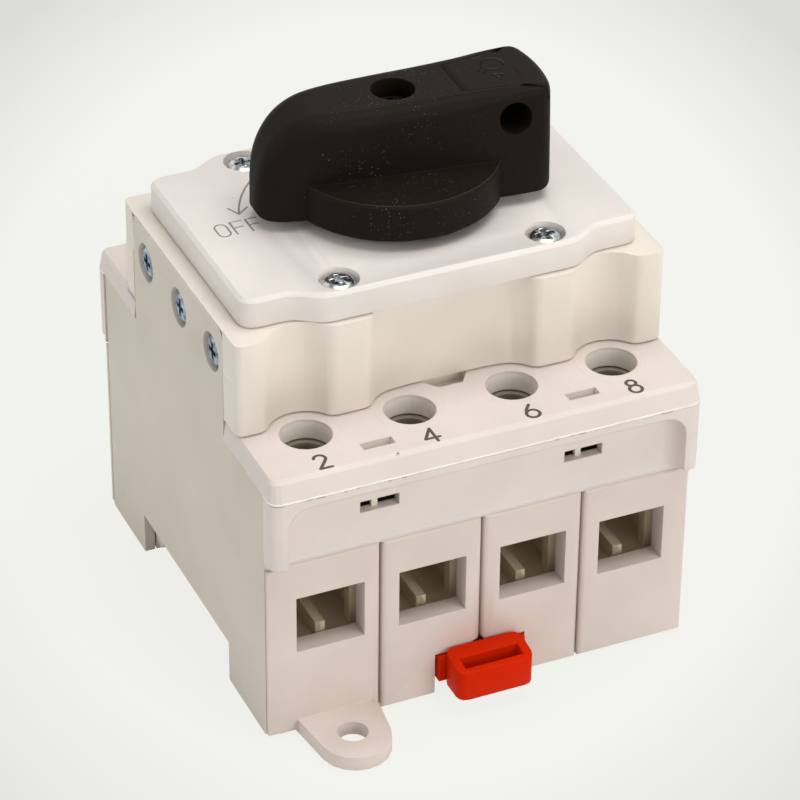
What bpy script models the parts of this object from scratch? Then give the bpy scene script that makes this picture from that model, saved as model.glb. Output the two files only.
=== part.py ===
"""A four-pole dc isolator switch for a 35 mm rail or a panel.

Four pole housings stand side by side under one terminal cover. The mechanism housing
stands on the cover and holds the cam, the contact carrier and its springs. A top plate
closes it, and the rotary handle with its lock slide turns above the plate.

Frame: X along the row of poles, -Y to the numbered terminals in front, Z up.
The origin is the middle of the base's underside. Lengths below are in millimetres,
and each mesh is scaled to metres as its object is made.
"""

import math

import bmesh
import bpy
from mathutils import Matrix, Vector

UNIT = 0.001
GAP = 0.3
THROUGH = 1.0
OVERLAP = 0.5

# Row of poles: each is a box open to the left, closed by its neighbour or the side plate
POLES = 4
PITCH = 17.25
DEPTH = 70.6
SIDE_PLATE_THICK = 1.75
SIDE_PLATE_LIP = 0.7
RIGHT_WALL = 1.1
BASE_WALL = 1.5
STEP_HEIGHT = 32.4
STEP_DEPTH = 2.2
UPPER_HEIGHT = 13.3
POLE_TOP_WALL = 1.7
FOOT_CHAMFER = 0.6
STEP_CHAMFER = 0.4

# Wire windows, terminal pockets and switching chambers
WINDOW_WIDTH = 11.4
WINDOW_LOW = 15.6
WINDOW_HIGH = 25.8
FRONT_WALL = 3.5
POCKET_FLOOR = 14.0
CLAMP_ROOM_FRONT = 0.9
CLAMP_ROOM_BACK = 2.7
PARTITION_THICK = 1.6
PARTITION_DOWN = 5.7
CHANNEL_CEILING = 1.6
FLOOR_RIB_HALF_X = 0.8
FLOOR_RIB_ROOM = 1.1
FLOOR_RIB_Y = (-3.7, 4.3)
WALL_RIB = 1.4
WALL_RIB_Y = (0.7, 2.9)
WALL_RIB_HEIGHT = 12.0

# Round edges of the grooves between the poles: width along the face, and depth
GROOVE_LEFT = (1.6, 1.0)
GROOVE_RIGHT = (0.7, 0.7)

# Rail channel, its hook and the clip's opening
CHANNEL_FRONT = -18.6
CHANNEL_WIDTH = 38.0
CHANNEL_HEIGHT = 7.4
HOOK_REACH = 4.0
HOOK_LEAD = 1.6
HOOK_ROOT = (1.7, 4.4)
HOOK_TIP = (4.0, 5.9)
CLIP_MIDDLE = 0.2
CLIP_OPENING = 15.6
CLIP_OPENING_HEIGHT = 8.0
CLIP_LOW = 3.2
CLIP_FLANGE = 0.9
CLIP_WING = 1.2
CLIP_WING_LOW = 4.6
CLIP_WING_HIGH = 6.0
CLIP_WING_BACK = 2.4
CLIP_GUIDE_WALL = 1.6
CLIP_LUG_LOW = 1.3
CLIP_NOTCH = 0.9
CLIP_NOTCH_DEEP = 2.0
CLIP_NOTCH_X = (-2.2, -1.4, 0.3, 1.1)
CLIP_TRAVEL = 4.0
LOOP_REACH = 6.7
LOOP_HALF_X = 6.5
LOOP_LOW = 2.9
LOOP_HIGH = 9.0
LOOP_FALL = 0.9
LOOP_WALL = 1.2
SLIT_DEEP = 2.4
SLIT_HALF_X = 5.0

# Fixing ears
EAR_IN = 11.6
EAR_REACH = 7.1
EAR_RADIUS = 5.8
EAR_ROOT = 6.9
EAR_THICK = 2.5
EAR_HOLE = 2.45
EAR_HOLE_REACH = 6.2

# Terminal cover
COVER_OVER_LEFT = 0.2
COVER_OVER_RIGHT = 0.5
COVER_OVER_Y = 2.7
DECK_THICK = 3.5
DECK_BEVEL = 0.8
DECK_SOFT = 0.6
COVER_CORNER = 1.8
LEG_SHORTER = 1.0
PANEL_BACK = 0.2
PANEL_DOWN = 5.2
PANEL_INSET = 2.8
PANEL_CORNER = 3.6
PANEL_CURVE = 2.2
PARTING_DOWN = 3.6
ACCESS_RADIUS = 4.1
ACCESS_INNER_RADIUS = 3.4
SNAP_POLES = (0, 2)
SNAP_HALF = 3.25
SNAP_DOWN = 6.2
SNAP_HEIGHT = 2.1
SNAP_FROM_EDGE = 1.75
SNAP_FAR = 2.5
BARB_OFF = 1.0
BARB_HALF = 0.65
BARB_REACH = 1.3
DECK_SLOT_HALF = 2.6
DECK_SLOT_Y = (-0.8, 1.0)
DECK_SLOT_DEEP = 2.0
FOOT_RECESS = ((-3.7, -1.6), (-3.7, -0.1), (-1.9, 2.2), (2.1, 2.2), (3.7, -0.1), (3.7, -1.6))

# Mechanism housing
HOUSING_HEIGHT = 16.1
HOUSING_BACK = 2.6
FLUTE_RADIUS = 5.9
SHOULDER_RADIUS = 2.2
RECESS_BACK = 0.2
HOUSING_ROOF = 1.8
HOUSING_LEFT_WALL = 5.5
HOUSING_RIGHT_WALL = 4.0
HOUSING_SIDE_WALL = 3.4
TONGUE_FRONT_IN = 5.9
TONGUE_REAR_IN = 4.3
TONGUE_DOWN = 0.7
TONGUE_THICK = 2.6
TONGUE_CORNER = 1.6

# Top plate and its screws
PLATE_THICK = 4.8
PLATE_INSET_X = 2.7
PLATE_CORNER_IN = 3.8
PLATE_MIDDLE_IN = 0.9
PLATE_STEP_FAR = 16.0
PLATE_STEP_NEAR = 9.6
PLATE_SOFT = 0.6
PLATE_RIM = 2.5
PLATE_BOSS_IN = 3.25
PLATE_BOSS_OUT = 3.55
PLATE_SCREW_IN = 4.8
SCREW_RECESS = 1.8
SCREW_HEAD = 1.5
SCREW_HEAD_RADIUS = 2.7
SCREW_HEAD_ROOM = 0.55
SCREW_SHANK_RADIUS = 1.4
SCREW_HOLE_ROOM = 0.25
SCREW_LENGTH = 12.3
SEAT_GAP = 0.15
SIDE_SCREW_DOWN = 6.6
SIDE_SCREW_RECESS = 1.5
SIDE_SCREW_HEAD = 1.2
SIDE_SCREW_LENGTH = 3.5
SIDE_SCREW_REAR_IN = 5.4
SIDE_SCREW_FRONT_IN = 4.5

# Handle and lock slide
HANDLE_CLEARANCE = 1.8
HANDLE_HEIGHT = 17.2
DISC_RADIUS = 17.3
DISC_THICK = 6.2
TAIL_RADIUS = 24.6
NOSE_MIDDLE = -12.0
NOSE_RISE = 2.7
NOSE_FACE = 1.45
HANDLE_BESIDE = 12.0
HANDLE_BORE = 3.5
HANDLE_BORE_DEEP = 5.0
SOCKET_DOWN = 7.4
HANDLE_SCREW_RADIUS = 1.75
HANDLE_SCREW_LENGTH = 8.8
PADLOCK_X = 16.9
PADLOCK_DOWN = 4.4
PADLOCK_RADIUS = 2.6
LATCH_TRAVEL = 4.0
LATCH_HALF_Y = 5.4
LATCH_START = 9.9
LATCH_PLATE = 2.2
STEM_END = 18.3
STEM_HALF_Y = 2.6
TOE_RADIUS = 13.0
TOE_HALF = 1.2
TRACK_DEEP = 1.7
GRIP_TABLE = (
    # x, half width at the foot, how much less at the top, edge radius
    (-23.2, 1.9, 0.2, 1.0),
    (-22.4, 3.1, 0.3, 2.1),
    (-20.5, 3.9, 0.4, 2.9),
    (-17.0, 4.7, 0.5, 3.5),
    (-10.0, 6.2, 0.6, 3.9),
    (-2.0, 6.9, 0.6, 3.7),
    (6.0, 7.7, 0.9, 3.0),
    (13.0, 9.3, 1.9, 2.2),
    (20.0, 10.4, 2.3, 1.6),
    (26.0, 10.7, 2.3, 1.4),
)

# Cam, carrier and contacts
TRAVEL = 4.0
CAM_DISC = 1.8
CAM_OUTER = 9.8
CAM_INNER = 6.2
CAM_DEGREES = (10.0, 100.0, 110.0, 170.0)
SPINDLE_RADIUS = 4.5
PIN_RADIUS = 2.7
SQUARE = 7.0
BAR_THICK = 3.0
LEG_X = 3.9
LEG_Y = 3.2
LEG_ROOM = 0.6
NUB_HALF_X = 1.3
NUB_HALF_Y = 1.1
STRIP_LOW = 24.7
STRIP_THICK = 1.5
STRIP_HALF_X = 2.2
STRIP_PAST_CONTACT = 2.5
CONTACT_BACK = 6.7
CONTACT_RADIUS = 1.8
CONTACT_THICK = 0.9
BRIDGE_THICK = 1.5
BRIDGE_HALF_X = 2.4
BRIDGE_END = 2.2
SPRING_RADIUS = 2.2
SPRING_WIRE = 0.28
SPRING_WELL = 3.4

# Terminal clamps and screws
CLAMP_HALF_X = 4.0
CLAMP_HALF_Y = 4.2
CLAMP_WALL = 1.1
CLAMP_FLOOR = 1.4
CLAMP_NUT = 3.0
CLAMP_TRAVEL = 5.0
TERMINAL_SCREW_RADIUS = 1.85
TERMINAL_HEAD_RADIUS = 3.6
TERMINAL_HEAD = 2.4
TERMINAL_NECK = 2.5

# Heights that stack up from the base
POLE_HEIGHT = STEP_HEIGHT + UPPER_HEIGHT
DECK_LOW = POLE_HEIGHT + GAP
COVER_TOP = DECK_LOW + DECK_THICK
HOUSING_LOW = COVER_TOP + GAP
HOUSING_TOP = HOUSING_LOW + HOUSING_HEIGHT
PLATE_LOW = HOUSING_TOP + GAP
PLATE_TOP = PLATE_LOW + PLATE_THICK
SCREW_SEAT = PLATE_TOP - SCREW_RECESS + SEAT_GAP
HANDLE_LOW = PLATE_TOP + HANDLE_CLEARANCE
HANDLE_TOP = HANDLE_LOW + HANDLE_HEIGHT

# Other values that follow from the sizes above
WIDTH = SIDE_PLATE_THICK + GAP / 2 + POLES * PITCH + RIGHT_WALL
HALF_X = WIDTH / 2
HALF_Y = DEPTH / 2
EAR_X = HALF_X - EAR_IN
UPPER_Y = HALF_Y - STEP_DEPTH
ROW_LEFT = -HALF_X + SIDE_PLATE_THICK + GAP / 2
SIDE_PLATE_Y = HALF_Y - SIDE_PLATE_LIP - GAP
ROOF_LOW = POLE_HEIGHT - POLE_TOP_WALL
TERMINAL_Y = HALF_Y - FRONT_WALL - CLAMP_ROOM_FRONT - CLAMP_HALF_Y
PARTITION_OUT = TERMINAL_Y - CLAMP_HALF_Y - CLAMP_ROOM_BACK
PARTITION_IN = PARTITION_OUT - PARTITION_THICK
PARTITION_TOP = POLE_HEIGHT - PARTITION_DOWN
CONTACT_Y = PARTITION_IN - CONTACT_BACK
STRIP_END_Y = CONTACT_Y - STRIP_PAST_CONTACT
CHANNEL_REAR = CHANNEL_FRONT + CHANNEL_WIDTH
CHAMBER_FLOOR = CHANNEL_HEIGHT + CHANNEL_CEILING
COVER_LEFT = -HALF_X - COVER_OVER_LEFT
COVER_RIGHT = HALF_X + COVER_OVER_RIGHT
COVER_Y = HALF_Y + COVER_OVER_Y
SKIRT_LOW = STEP_HEIGHT + GAP
SKIRT_INNER = UPPER_Y + GAP
PANEL_Y = HALF_Y - PANEL_BACK
PANEL_TOP = COVER_TOP - PANEL_DOWN
COVER_PARTING = COVER_TOP - PARTING_DOWN
SNAP_HIGH = COVER_TOP - SNAP_DOWN
SNAP_LOW = SNAP_HIGH - SNAP_HEIGHT
HOUSING_Y = TERMINAL_Y - HOUSING_BACK
RECESS_Y = TERMINAL_Y - FLUTE_RADIUS - RECESS_BACK
TONGUE_FRONT = -HOUSING_Y + TONGUE_FRONT_IN
TONGUE_REAR = HOUSING_Y - TONGUE_REAR_IN
TONGUE_TOP = HOUSING_TOP - TONGUE_DOWN
PLATE_SCREW_X = PITCH
SPRING_X = PITCH
PLATE_HOLLOW_X = PLATE_SCREW_X - PLATE_BOSS_IN
PLATE_WING_X = PLATE_SCREW_X + PLATE_BOSS_OUT
SCREW_RECESS_RADIUS = SCREW_HEAD_RADIUS + SCREW_HEAD_ROOM
SCREW_HOLE_RADIUS = SCREW_SHANK_RADIUS + SCREW_HOLE_ROOM
CLIP_GUIDE_FRONT = -HALF_Y + CLIP_GUIDE_WALL
CLIP_WING_FRONT = CLIP_GUIDE_FRONT + CLIP_TRAVEL + GAP
CLIP_WING_REAR = CHANNEL_FRONT - CLIP_WING_BACK
SIDE_SCREW_Z = HOUSING_TOP - SIDE_SCREW_DOWN
SIDE_SCREW_YS = (TONGUE_REAR - SIDE_SCREW_REAR_IN, 0.0, TONGUE_FRONT + SIDE_SCREW_FRONT_IN)
DISC_TOP = HANDLE_LOW + DISC_THICK
HANDLE_BORE_FLOOR = HANDLE_TOP - HANDLE_BORE_DEEP
SOCKET_TOP = HANDLE_TOP - SOCKET_DOWN
PADLOCK_Z = HANDLE_TOP - PADLOCK_DOWN
CAM_TOP = HOUSING_TOP - HOUSING_ROOF - GAP
CAM_LOW = CAM_TOP - CAM_DISC - GAP
NUB_TOP = CAM_LOW - GAP
BAR_TOP = NUB_TOP - TRAVEL
BAR_LOW = BAR_TOP - BAR_THICK
LEG_HOLE_X = LEG_X + LEG_ROOM
LEG_HOLE_Y = LEG_Y + LEG_ROOM
STRIP_TOP = STRIP_LOW + STRIP_THICK
TIP_TOP = STRIP_TOP + CONTACT_THICK
BRIDGE_LOW = TIP_TOP + GAP + TRAVEL + CONTACT_THICK
BRIDGE_TOP = BRIDGE_LOW + BRIDGE_THICK
CLAMP_LOW = STRIP_LOW - GAP - CLAMP_FLOOR
FLOOR_RIB_TOP = CLAMP_LOW - CLAMP_TRAVEL - FLOOR_RIB_ROOM
CLAMP_TUNNEL_TOP = STRIP_TOP + CLAMP_TRAVEL + GAP
CLAMP_TOP = CLAMP_TUNNEL_TOP + CLAMP_NUT
TERMINAL_HEAD_LOW = CLAMP_TOP + TERMINAL_NECK

SEGMENTS = 28
FRONT, REAR = -1, 1
SIDE_NAMES = {FRONT: "front", REAR: "rear"}


def boundary(index):
    """The plane between pole index and the next, counted from the left."""
    return ROW_LEFT + index * PITCH


def pole_x(index):
    """The middle of a pole's windows."""
    return ROW_LEFT + (index + 0.5) * PITCH


def terminal_x(index):
    """The line of a pole's terminal screws, contacts and carrier leg."""
    return (index - (POLES - 1) / 2) * PITCH


def snap_x(index):
    """The middle of the snap window near the right edge of a pole."""
    return boundary(index + 1) - SNAP_FROM_EDGE


def span(side, inner, outer):
    """A range along Y on the front or rear side, from its distances to the middle."""
    return sorted((side * inner, side * outer))


def material(name, colour, roughness, metallic=0.0):
    made = bpy.data.materials.new(name)
    made.use_nodes = True
    shader = made.node_tree.nodes["Principled BSDF"]
    shader.inputs["Base Color"].default_value = (*colour, 1.0)
    shader.inputs["Roughness"].default_value = roughness
    shader.inputs["Metallic"].default_value = metallic
    return made


def closed(shape):
    """Merges doubled points and turns every face outwards."""
    bmesh.ops.remove_doubles(shape, verts=shape.verts, dist=1e-4)
    bmesh.ops.recalc_face_normals(shape, faces=shape.faces)
    return shape


def loft(rings, cyclic=False):
    """Joins rings of equal length into a tube, with a cap at each end unless it is cyclic."""
    shape = bmesh.new()
    rows = [[shape.verts.new(point) for point in ring] for ring in rings]
    pairs = list(zip(rows, rows[1:] + rows[:1])) if cyclic else list(zip(rows, rows[1:]))
    for lower, upper in pairs:
        for i in range(len(lower)):
            j = (i + 1) % len(lower)
            shape.faces.new((lower[i], lower[j], upper[j], upper[i]))
    if not cyclic:
        shape.faces.new(rows[0])
        shape.faces.new(rows[-1])
    return closed(shape)


def prism(outline, axis, low, high):
    """An outline drawn across an axis, extruded from low to high along it."""
    place = {
        "x": lambda u, v, w: (w, u, v),
        "y": lambda u, v, w: (u, w, v),
        "z": lambda u, v, w: (u, v, w),
    }[axis]
    return loft([[place(u, v, w) for u, v in outline] for w in (low, high)])


def block(x, y, z):
    """A box between the low and high values given for each axis."""
    return prism([(x[0], y[0]), (x[1], y[0]), (x[1], y[1]), (x[0], y[1])], "z", *z)


def circle(centre, radius, segments=SEGMENTS):
    angles = [math.tau * i / segments for i in range(segments)]
    return [(centre[0] + radius * math.cos(a), centre[1] + radius * math.sin(a)) for a in angles]


def rod(centre, radius, axis, low, high, segments=SEGMENTS):
    return prism(circle(centre, radius, segments), axis, low, high)


def arc(centre, radius, start, end, steps):
    """Points along an arc, with its angles in degrees."""
    angles = [math.radians(start + (end - start) * i / steps) for i in range(steps + 1)]
    return [(centre[0] + radius * math.cos(a), centre[1] + radius * math.sin(a)) for a in angles]


def rounded(low, high, radius, steps=3):
    """A rectangle with round corners."""
    corners = ((high[0], high[1], 0), (low[0], high[1], 90), (low[0], low[1], 180), (high[0], low[1], 270))
    points = []
    for x, y, start in corners:
        inward = (-radius if x == high[0] else radius, -radius if y == high[1] else radius)
        points += arc((x + inward[0], y + inward[1]), radius, start, start + 90, steps)
    return points


def turned(profile, centre=(0.0, 0.0), segments=SEGMENTS):
    """A solid turned about the vertical through centre, from (radius, height) points on and off its axis."""
    shape = bmesh.new()
    low = shape.verts.new((*centre, profile[0][1]))
    high = shape.verts.new((*centre, profile[-1][1]))
    rings = []
    for r, z in profile[1:-1]:
        rings.append([shape.verts.new((*point, z)) for point in circle(centre, r, segments)])
    for i in range(segments):
        j = (i + 1) % segments
        shape.faces.new((low, rings[0][j], rings[0][i]))
        shape.faces.new((high, rings[-1][i], rings[-1][j]))
        for lower, upper in zip(rings, rings[1:]):
            shape.faces.new((lower[i], lower[j], upper[j], upper[i]))
    return closed(shape)


def eased(table, x):
    """The values of a table's rows at x, on a smooth curve through the rows."""
    last = len(table) - 1
    i = min(last - 1, max(0, sum(row[0] <= x for row in table) - 1))
    before, low, high, after = table[max(i - 1, 0)], table[i], table[i + 1], table[min(i + 2, last)]
    width = high[0] - low[0]
    t = (x - low[0]) / width
    values = []
    for column in range(1, len(low)):
        slope_low = (high[column] - before[column]) / (high[0] - before[0]) * width
        slope_high = (after[column] - low[column]) / (after[0] - low[0]) * width
        value = (2 * t**3 - 3 * t**2 + 1) * low[column] + (t**3 - 2 * t**2 + t) * slope_low
        value += (3 * t**2 - 2 * t**3) * high[column] + (t**3 - t**2) * slope_high
        values.append(value)
    return values


def helper(name, shape):
    """A mesh that joins or cuts another, kept out of the render."""
    mesh = bpy.data.meshes.new(name)
    shape.to_mesh(mesh)
    shape.free()
    mesh.transform(Matrix.Scale(UNIT, 4))
    tool = bpy.data.objects.new(name, mesh)
    tool.hide_render = True
    tool.display_type = "WIRE"
    bpy.context.scene.collection.objects.link(tool)
    return tool


def piece(name, finish, body, joined=(), cut=(), kept=(), added=(), pivot=(0.0, 0.0, 0.0)):
    """One sub-part with its origin at pivot: joined shapes come before the cuts, added ones after."""
    mesh = bpy.data.meshes.new(name)
    body.to_mesh(mesh)
    body.free()
    mesh.transform(Matrix.Scale(UNIT, 4) @ Matrix.Translation(-Vector(pivot)))
    mesh.materials.append(finish)
    mesh.shade_smooth()
    mesh.set_sharp_from_angle(angle=math.radians(35.0))
    made = bpy.data.objects.new(name, mesh)
    made.location = Vector(pivot) * UNIT
    bpy.context.scene.collection.objects.link(made)
    steps = [("UNION", shape) for shape in joined] + [("INTERSECT", shape) for shape in kept]
    steps += [("DIFFERENCE", shape) for shape in cut] + [("UNION", shape) for shape in added]
    for number, (operation, shape) in enumerate(steps, 1):
        modifier = made.modifiers.new(f"step_{number}", "BOOLEAN")
        modifier.operation = operation
        modifier.solver = "EXACT"
        modifier.object = helper(f"{name}.step_{number}", shape)
    return made


def base_section():
    """A pole housing's side view: feet, rail channel with its hook, and the step under the cover."""
    hook_tip = CHANNEL_REAR - HOOK_REACH
    channel = [
        (CHANNEL_FRONT, 0.0),
        (CHANNEL_FRONT, CHANNEL_HEIGHT),
        (CHANNEL_REAR, CHANNEL_HEIGHT),
        (CHANNEL_REAR, HOOK_ROOT[1]),
        (hook_tip + HOOK_LEAD, HOOK_TIP[1]),
        (hook_tip, HOOK_TIP[1]),
        (hook_tip, HOOK_TIP[0]),
        (hook_tip + HOOK_LEAD, HOOK_ROOT[0]),
        (CHANNEL_REAR, HOOK_ROOT[0]),
        (CHANNEL_REAR, 0.0),
    ]
    wall = [
        (HALF_Y - FOOT_CHAMFER, 0.0),
        (HALF_Y, FOOT_CHAMFER),
        (HALF_Y, STEP_HEIGHT - STEP_CHAMFER),
        (HALF_Y - STEP_CHAMFER, STEP_HEIGHT),
        (UPPER_Y, STEP_HEIGHT),
        (UPPER_Y, POLE_HEIGHT),
    ]
    return channel + wall + [(-y, z) for y, z in reversed(wall)]


def cavity_section():
    """The inside of a pole: two terminal pockets and the switching chamber between them."""
    wall = HALF_Y - FRONT_WALL
    half = [
        (wall, ROOF_LOW),
        (wall, POCKET_FLOOR),
        (PARTITION_OUT, POCKET_FLOOR),
        (PARTITION_OUT, PARTITION_TOP),
        (PARTITION_IN, PARTITION_TOP),
        (PARTITION_IN, CHAMBER_FLOOR),
    ]
    return half + [(-y, z) for y, z in reversed(half)]


def ear_outline(side):
    """A fixing ear seen from above, tapering to a round end."""
    centre = (side * EAR_X, side * (HALF_Y + EAR_REACH))
    tilt = 10
    start = tilt if side == REAR else 180 + tilt
    root_y = side * (HALF_Y - THROUGH)
    tip = arc(centre, EAR_RADIUS, start, start + 180 - 2 * tilt, 8)
    return [(centre[0] + side * EAR_ROOT, root_y)] + tip + [(centre[0] - side * EAR_ROOT, root_y)]


def groove_edge(edge, towards, side):
    """The cutter that rounds a pole's corner beside a groove, on its right (towards 1) or left (-1)."""
    width, deep = GROOVE_LEFT if towards == 1 else GROOVE_RIGHT
    steps = 4
    outline = []
    for i in range(steps + 1):
        angle = math.radians(90.0 * i / steps)
        x = edge - towards * width * (1.0 - math.sin(angle))
        outline.append((x, side * (HALF_Y - deep * (1.0 - math.cos(angle)))))
    past = edge + towards * THROUGH
    outline += [(past, side * (HALF_Y - deep)), (past, side * (HALF_Y + THROUGH))]
    outline.append((edge - towards * width, side * (HALF_Y + THROUGH)))
    return prism(outline, "z", -THROUGH, STEP_HEIGHT + THROUGH)


def snap_cutters(index, side, left, right):
    """The dark windows in a pole's upper wall, beside the barb that the cover snaps over."""
    wall = span(side, HALF_Y - FRONT_WALL - THROUGH, UPPER_Y + THROUGH)
    height = (SNAP_LOW, SNAP_HIGH)
    if index not in SNAP_POLES:
        return [block((left - THROUGH, snap_x(index - 1) + SNAP_FAR), wall, height)]
    middle = snap_x(index)
    barb = middle - BARB_OFF
    near = (middle - SNAP_HALF + GAP, barb - BARB_HALF)
    return [block(near, wall, height), block((barb + BARB_HALF, right + THROUGH), wall, height)]


def clip_cutters():
    """The opening for the rail clip, the guides for its wings, and the notch over it at the groove."""
    middle, half = CLIP_MIDDLE, CLIP_OPENING / 2
    rear = CHANNEL_FRONT + OVERLAP
    before = -HALF_Y - THROUGH
    opening = block((middle - half, middle + half), (before, rear), (-THROUGH, CLIP_OPENING_HEIGHT))
    guide_x = (middle - half - CLIP_WING, middle + half + CLIP_WING)
    guide = block(guide_x, (CLIP_GUIDE_FRONT, rear), (CLIP_WING_LOW - GAP, CLIP_WING_HIGH + GAP))
    groove = boundary(POLES // 2)
    low, high = CLIP_OPENING_HEIGHT - GAP, CLIP_OPENING_HEIGHT + CLIP_NOTCH
    notch = [(groove + x, z) for x, z in zip(CLIP_NOTCH_X, (low, high, high, low))]
    return [opening, guide, prism(notch, "y", before, -HALF_Y + CLIP_NOTCH_DEEP)]


def pole_housing(index, plastic):
    """One pole: a box open to the left, with a terminal pocket at each end and the contacts between."""
    first, last = index == 0, index == POLES - 1
    left = boundary(index) + GAP / 2
    right = HALF_X if last else boundary(index + 1) - GAP / 2
    inner_right = boundary(index + 1) - GAP / 2 - BASE_WALL
    window, terminal = pole_x(index), terminal_x(index)
    roof = (ROOF_LOW - THROUGH, POLE_HEIGHT + THROUGH)
    cut = [
        prism(cavity_section(), "x", left - THROUGH, inner_right),
        block((terminal - LEG_HOLE_X, terminal + LEG_HOLE_X), (-LEG_HOLE_Y, LEG_HOLE_Y), roof),
    ]
    joined, added = [], []
    for side in (FRONT, REAR):
        wall = span(side, HALF_Y - FRONT_WALL - THROUGH, HALF_Y + THROUGH)
        window_x = (window - WINDOW_WIDTH / 2, window + WINDOW_WIDTH / 2)
        cut.append(block(window_x, wall, (WINDOW_LOW, WINDOW_HIGH)))
        strip_y = span(side, PARTITION_IN - OVERLAP, PARTITION_OUT + OVERLAP)
        strip_x = (left - THROUGH, terminal + STRIP_HALF_X + GAP)
        cut.append(block(strip_x, strip_y, (STRIP_LOW - GAP, STRIP_TOP + GAP)))
        cut.append(rod((terminal, side * TERMINAL_Y), ACCESS_INNER_RADIUS, "z", *roof, 20))
        cut += snap_cutters(index, side, left, right)
        if not first:
            cut.append(groove_edge(left, -1, side))
        if not last:
            cut.append(groove_edge(right, 1, side))
        if index in SNAP_POLES:
            barb = snap_x(index) - BARB_OFF
            barb_y = span(side, UPPER_Y - OVERLAP, UPPER_Y + BARB_REACH)
            barb_x, barb_z = (barb - BARB_HALF, barb + BARB_HALF), (SNAP_LOW + GAP, SNAP_HIGH - GAP)
            joined.append(block(barb_x, barb_y, barb_z))
        rib_z = (POCKET_FLOOR - OVERLAP, POCKET_FLOOR + WALL_RIB_HEIGHT)
        rib_y = span(side, TERMINAL_Y + WALL_RIB_Y[0], TERMINAL_Y + WALL_RIB_Y[1])
        added.append(block((inner_right - WALL_RIB, inner_right + OVERLAP), rib_y, rib_z))
        floor_y = span(side, TERMINAL_Y + FLOOR_RIB_Y[0], TERMINAL_Y + FLOOR_RIB_Y[1])
        floor_x = (window - FLOOR_RIB_HALF_X, window + FLOOR_RIB_HALF_X)
        added.append(block(floor_x, floor_y, (POCKET_FLOOR - OVERLAP, FLOOR_RIB_TOP)))
    if first:
        for side in (FRONT, REAR):
            lip_y, lip_z = span(side, SIDE_PLATE_Y + GAP, HALF_Y), (FOOT_CHAMFER, STEP_HEIGHT - STEP_CHAMFER)
            joined.append(block((-HALF_X, left + THROUGH), lip_y, lip_z))
    if last:
        beside_cover = (boundary(POLES) - GAP / 2, HALF_X + THROUGH)
        cut.append(block(beside_cover, (-COVER_Y, COVER_Y), (STEP_HEIGHT, POLE_HEIGHT + THROUGH)))
    if first or last:
        side = FRONT if first else REAR
        hole = (side * EAR_X, side * (HALF_Y + EAR_HOLE_REACH))
        joined.append(prism(ear_outline(side), "z", 0.0, EAR_THICK))
        cut.append(rod(hole, EAR_HOLE, "z", -THROUGH, EAR_THICK + THROUGH))
    else:
        cut += clip_cutters()
    body = prism(base_section(), "x", left, right)
    return piece(f"pole_housing_{index + 1}", plastic, body, joined, cut, added=added)


def side_plate(plastic):
    """The plate that closes the first pole, with a tongue that holds the mechanism housing."""
    left = -HALF_X
    shoulder = DECK_LOW - GAP
    chamfer = 0.4
    lower = [
        (-SIDE_PLATE_Y, chamfer),
        (-SIDE_PLATE_Y + chamfer, 0.0),
        (CHANNEL_FRONT, 0.0),
        (CHANNEL_FRONT, CHANNEL_HEIGHT),
        (CHANNEL_REAR, CHANNEL_HEIGHT),
        (CHANNEL_REAR, 0.0),
        (SIDE_PLATE_Y - chamfer, 0.0),
        (SIDE_PLATE_Y, chamfer),
        (SIDE_PLATE_Y, shoulder),
        (-SIDE_PLATE_Y, shoulder),
    ]
    corner = TONGUE_CORNER
    tongue = [(TONGUE_FRONT, shoulder - THROUGH), (TONGUE_REAR, shoulder - THROUGH)]
    tongue += arc((TONGUE_REAR - corner, TONGUE_TOP - corner), corner, 0, 90, 3)
    tongue += arc((TONGUE_FRONT + corner, TONGUE_TOP - corner), corner, 90, 180, 3)
    # Above the poles, where its screws hold it, the tongue is thicker.
    thick = [(y, max(z, DECK_LOW)) for y, z in tongue]
    joined = [
        prism(tongue, "x", left, left + SIDE_PLATE_THICK),
        prism(thick, "x", left, left + TONGUE_THICK),
    ]
    cut = []
    for y in SIDE_SCREW_YS:
        centre = (y, SIDE_SCREW_Z)
        cut.append(rod(centre, SCREW_RECESS_RADIUS, "x", left - THROUGH, left + SIDE_SCREW_RECESS, 20))
        cut.append(rod(centre, SCREW_HOLE_RADIUS, "x", left, left + TONGUE_THICK + THROUGH, 12))
    return piece("side_plate", plastic, prism(lower, "x", left, left + SIDE_PLATE_THICK), joined, cut)


def panel_outline(inset=0.0):
    """The recessed panel in the cover's skirt, with round upper corners."""
    low = SKIRT_LOW - THROUGH
    left, right = COVER_LEFT + PANEL_INSET + inset, COVER_RIGHT - PANEL_INSET - inset
    top, radius = PANEL_TOP - inset, PANEL_CORNER - inset * 0.5
    points = [(left, low), (right, low)]
    points += arc((right - radius, top - radius), radius, 0, 90, 4)
    points += arc((left + radius, top - radius), radius, 90, 180, 4)
    return points


def panel_cutter(side):
    """The space in front of the panel, whose inner edges curve out to the frame of the skirt."""
    steps = 4
    rings = [[(x, side * (COVER_Y + THROUGH), z) for x, z in panel_outline()]]
    for i in range(steps + 1):
        angle = math.radians(90.0 * i / steps)
        inset = PANEL_CURVE * (1.0 - math.cos(angle))
        y = side * (PANEL_Y + PANEL_CURVE * (1.0 - math.sin(angle)))
        rings.append([(x, y, z) for x, z in panel_outline(inset)])
    return loft(rings)


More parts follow.
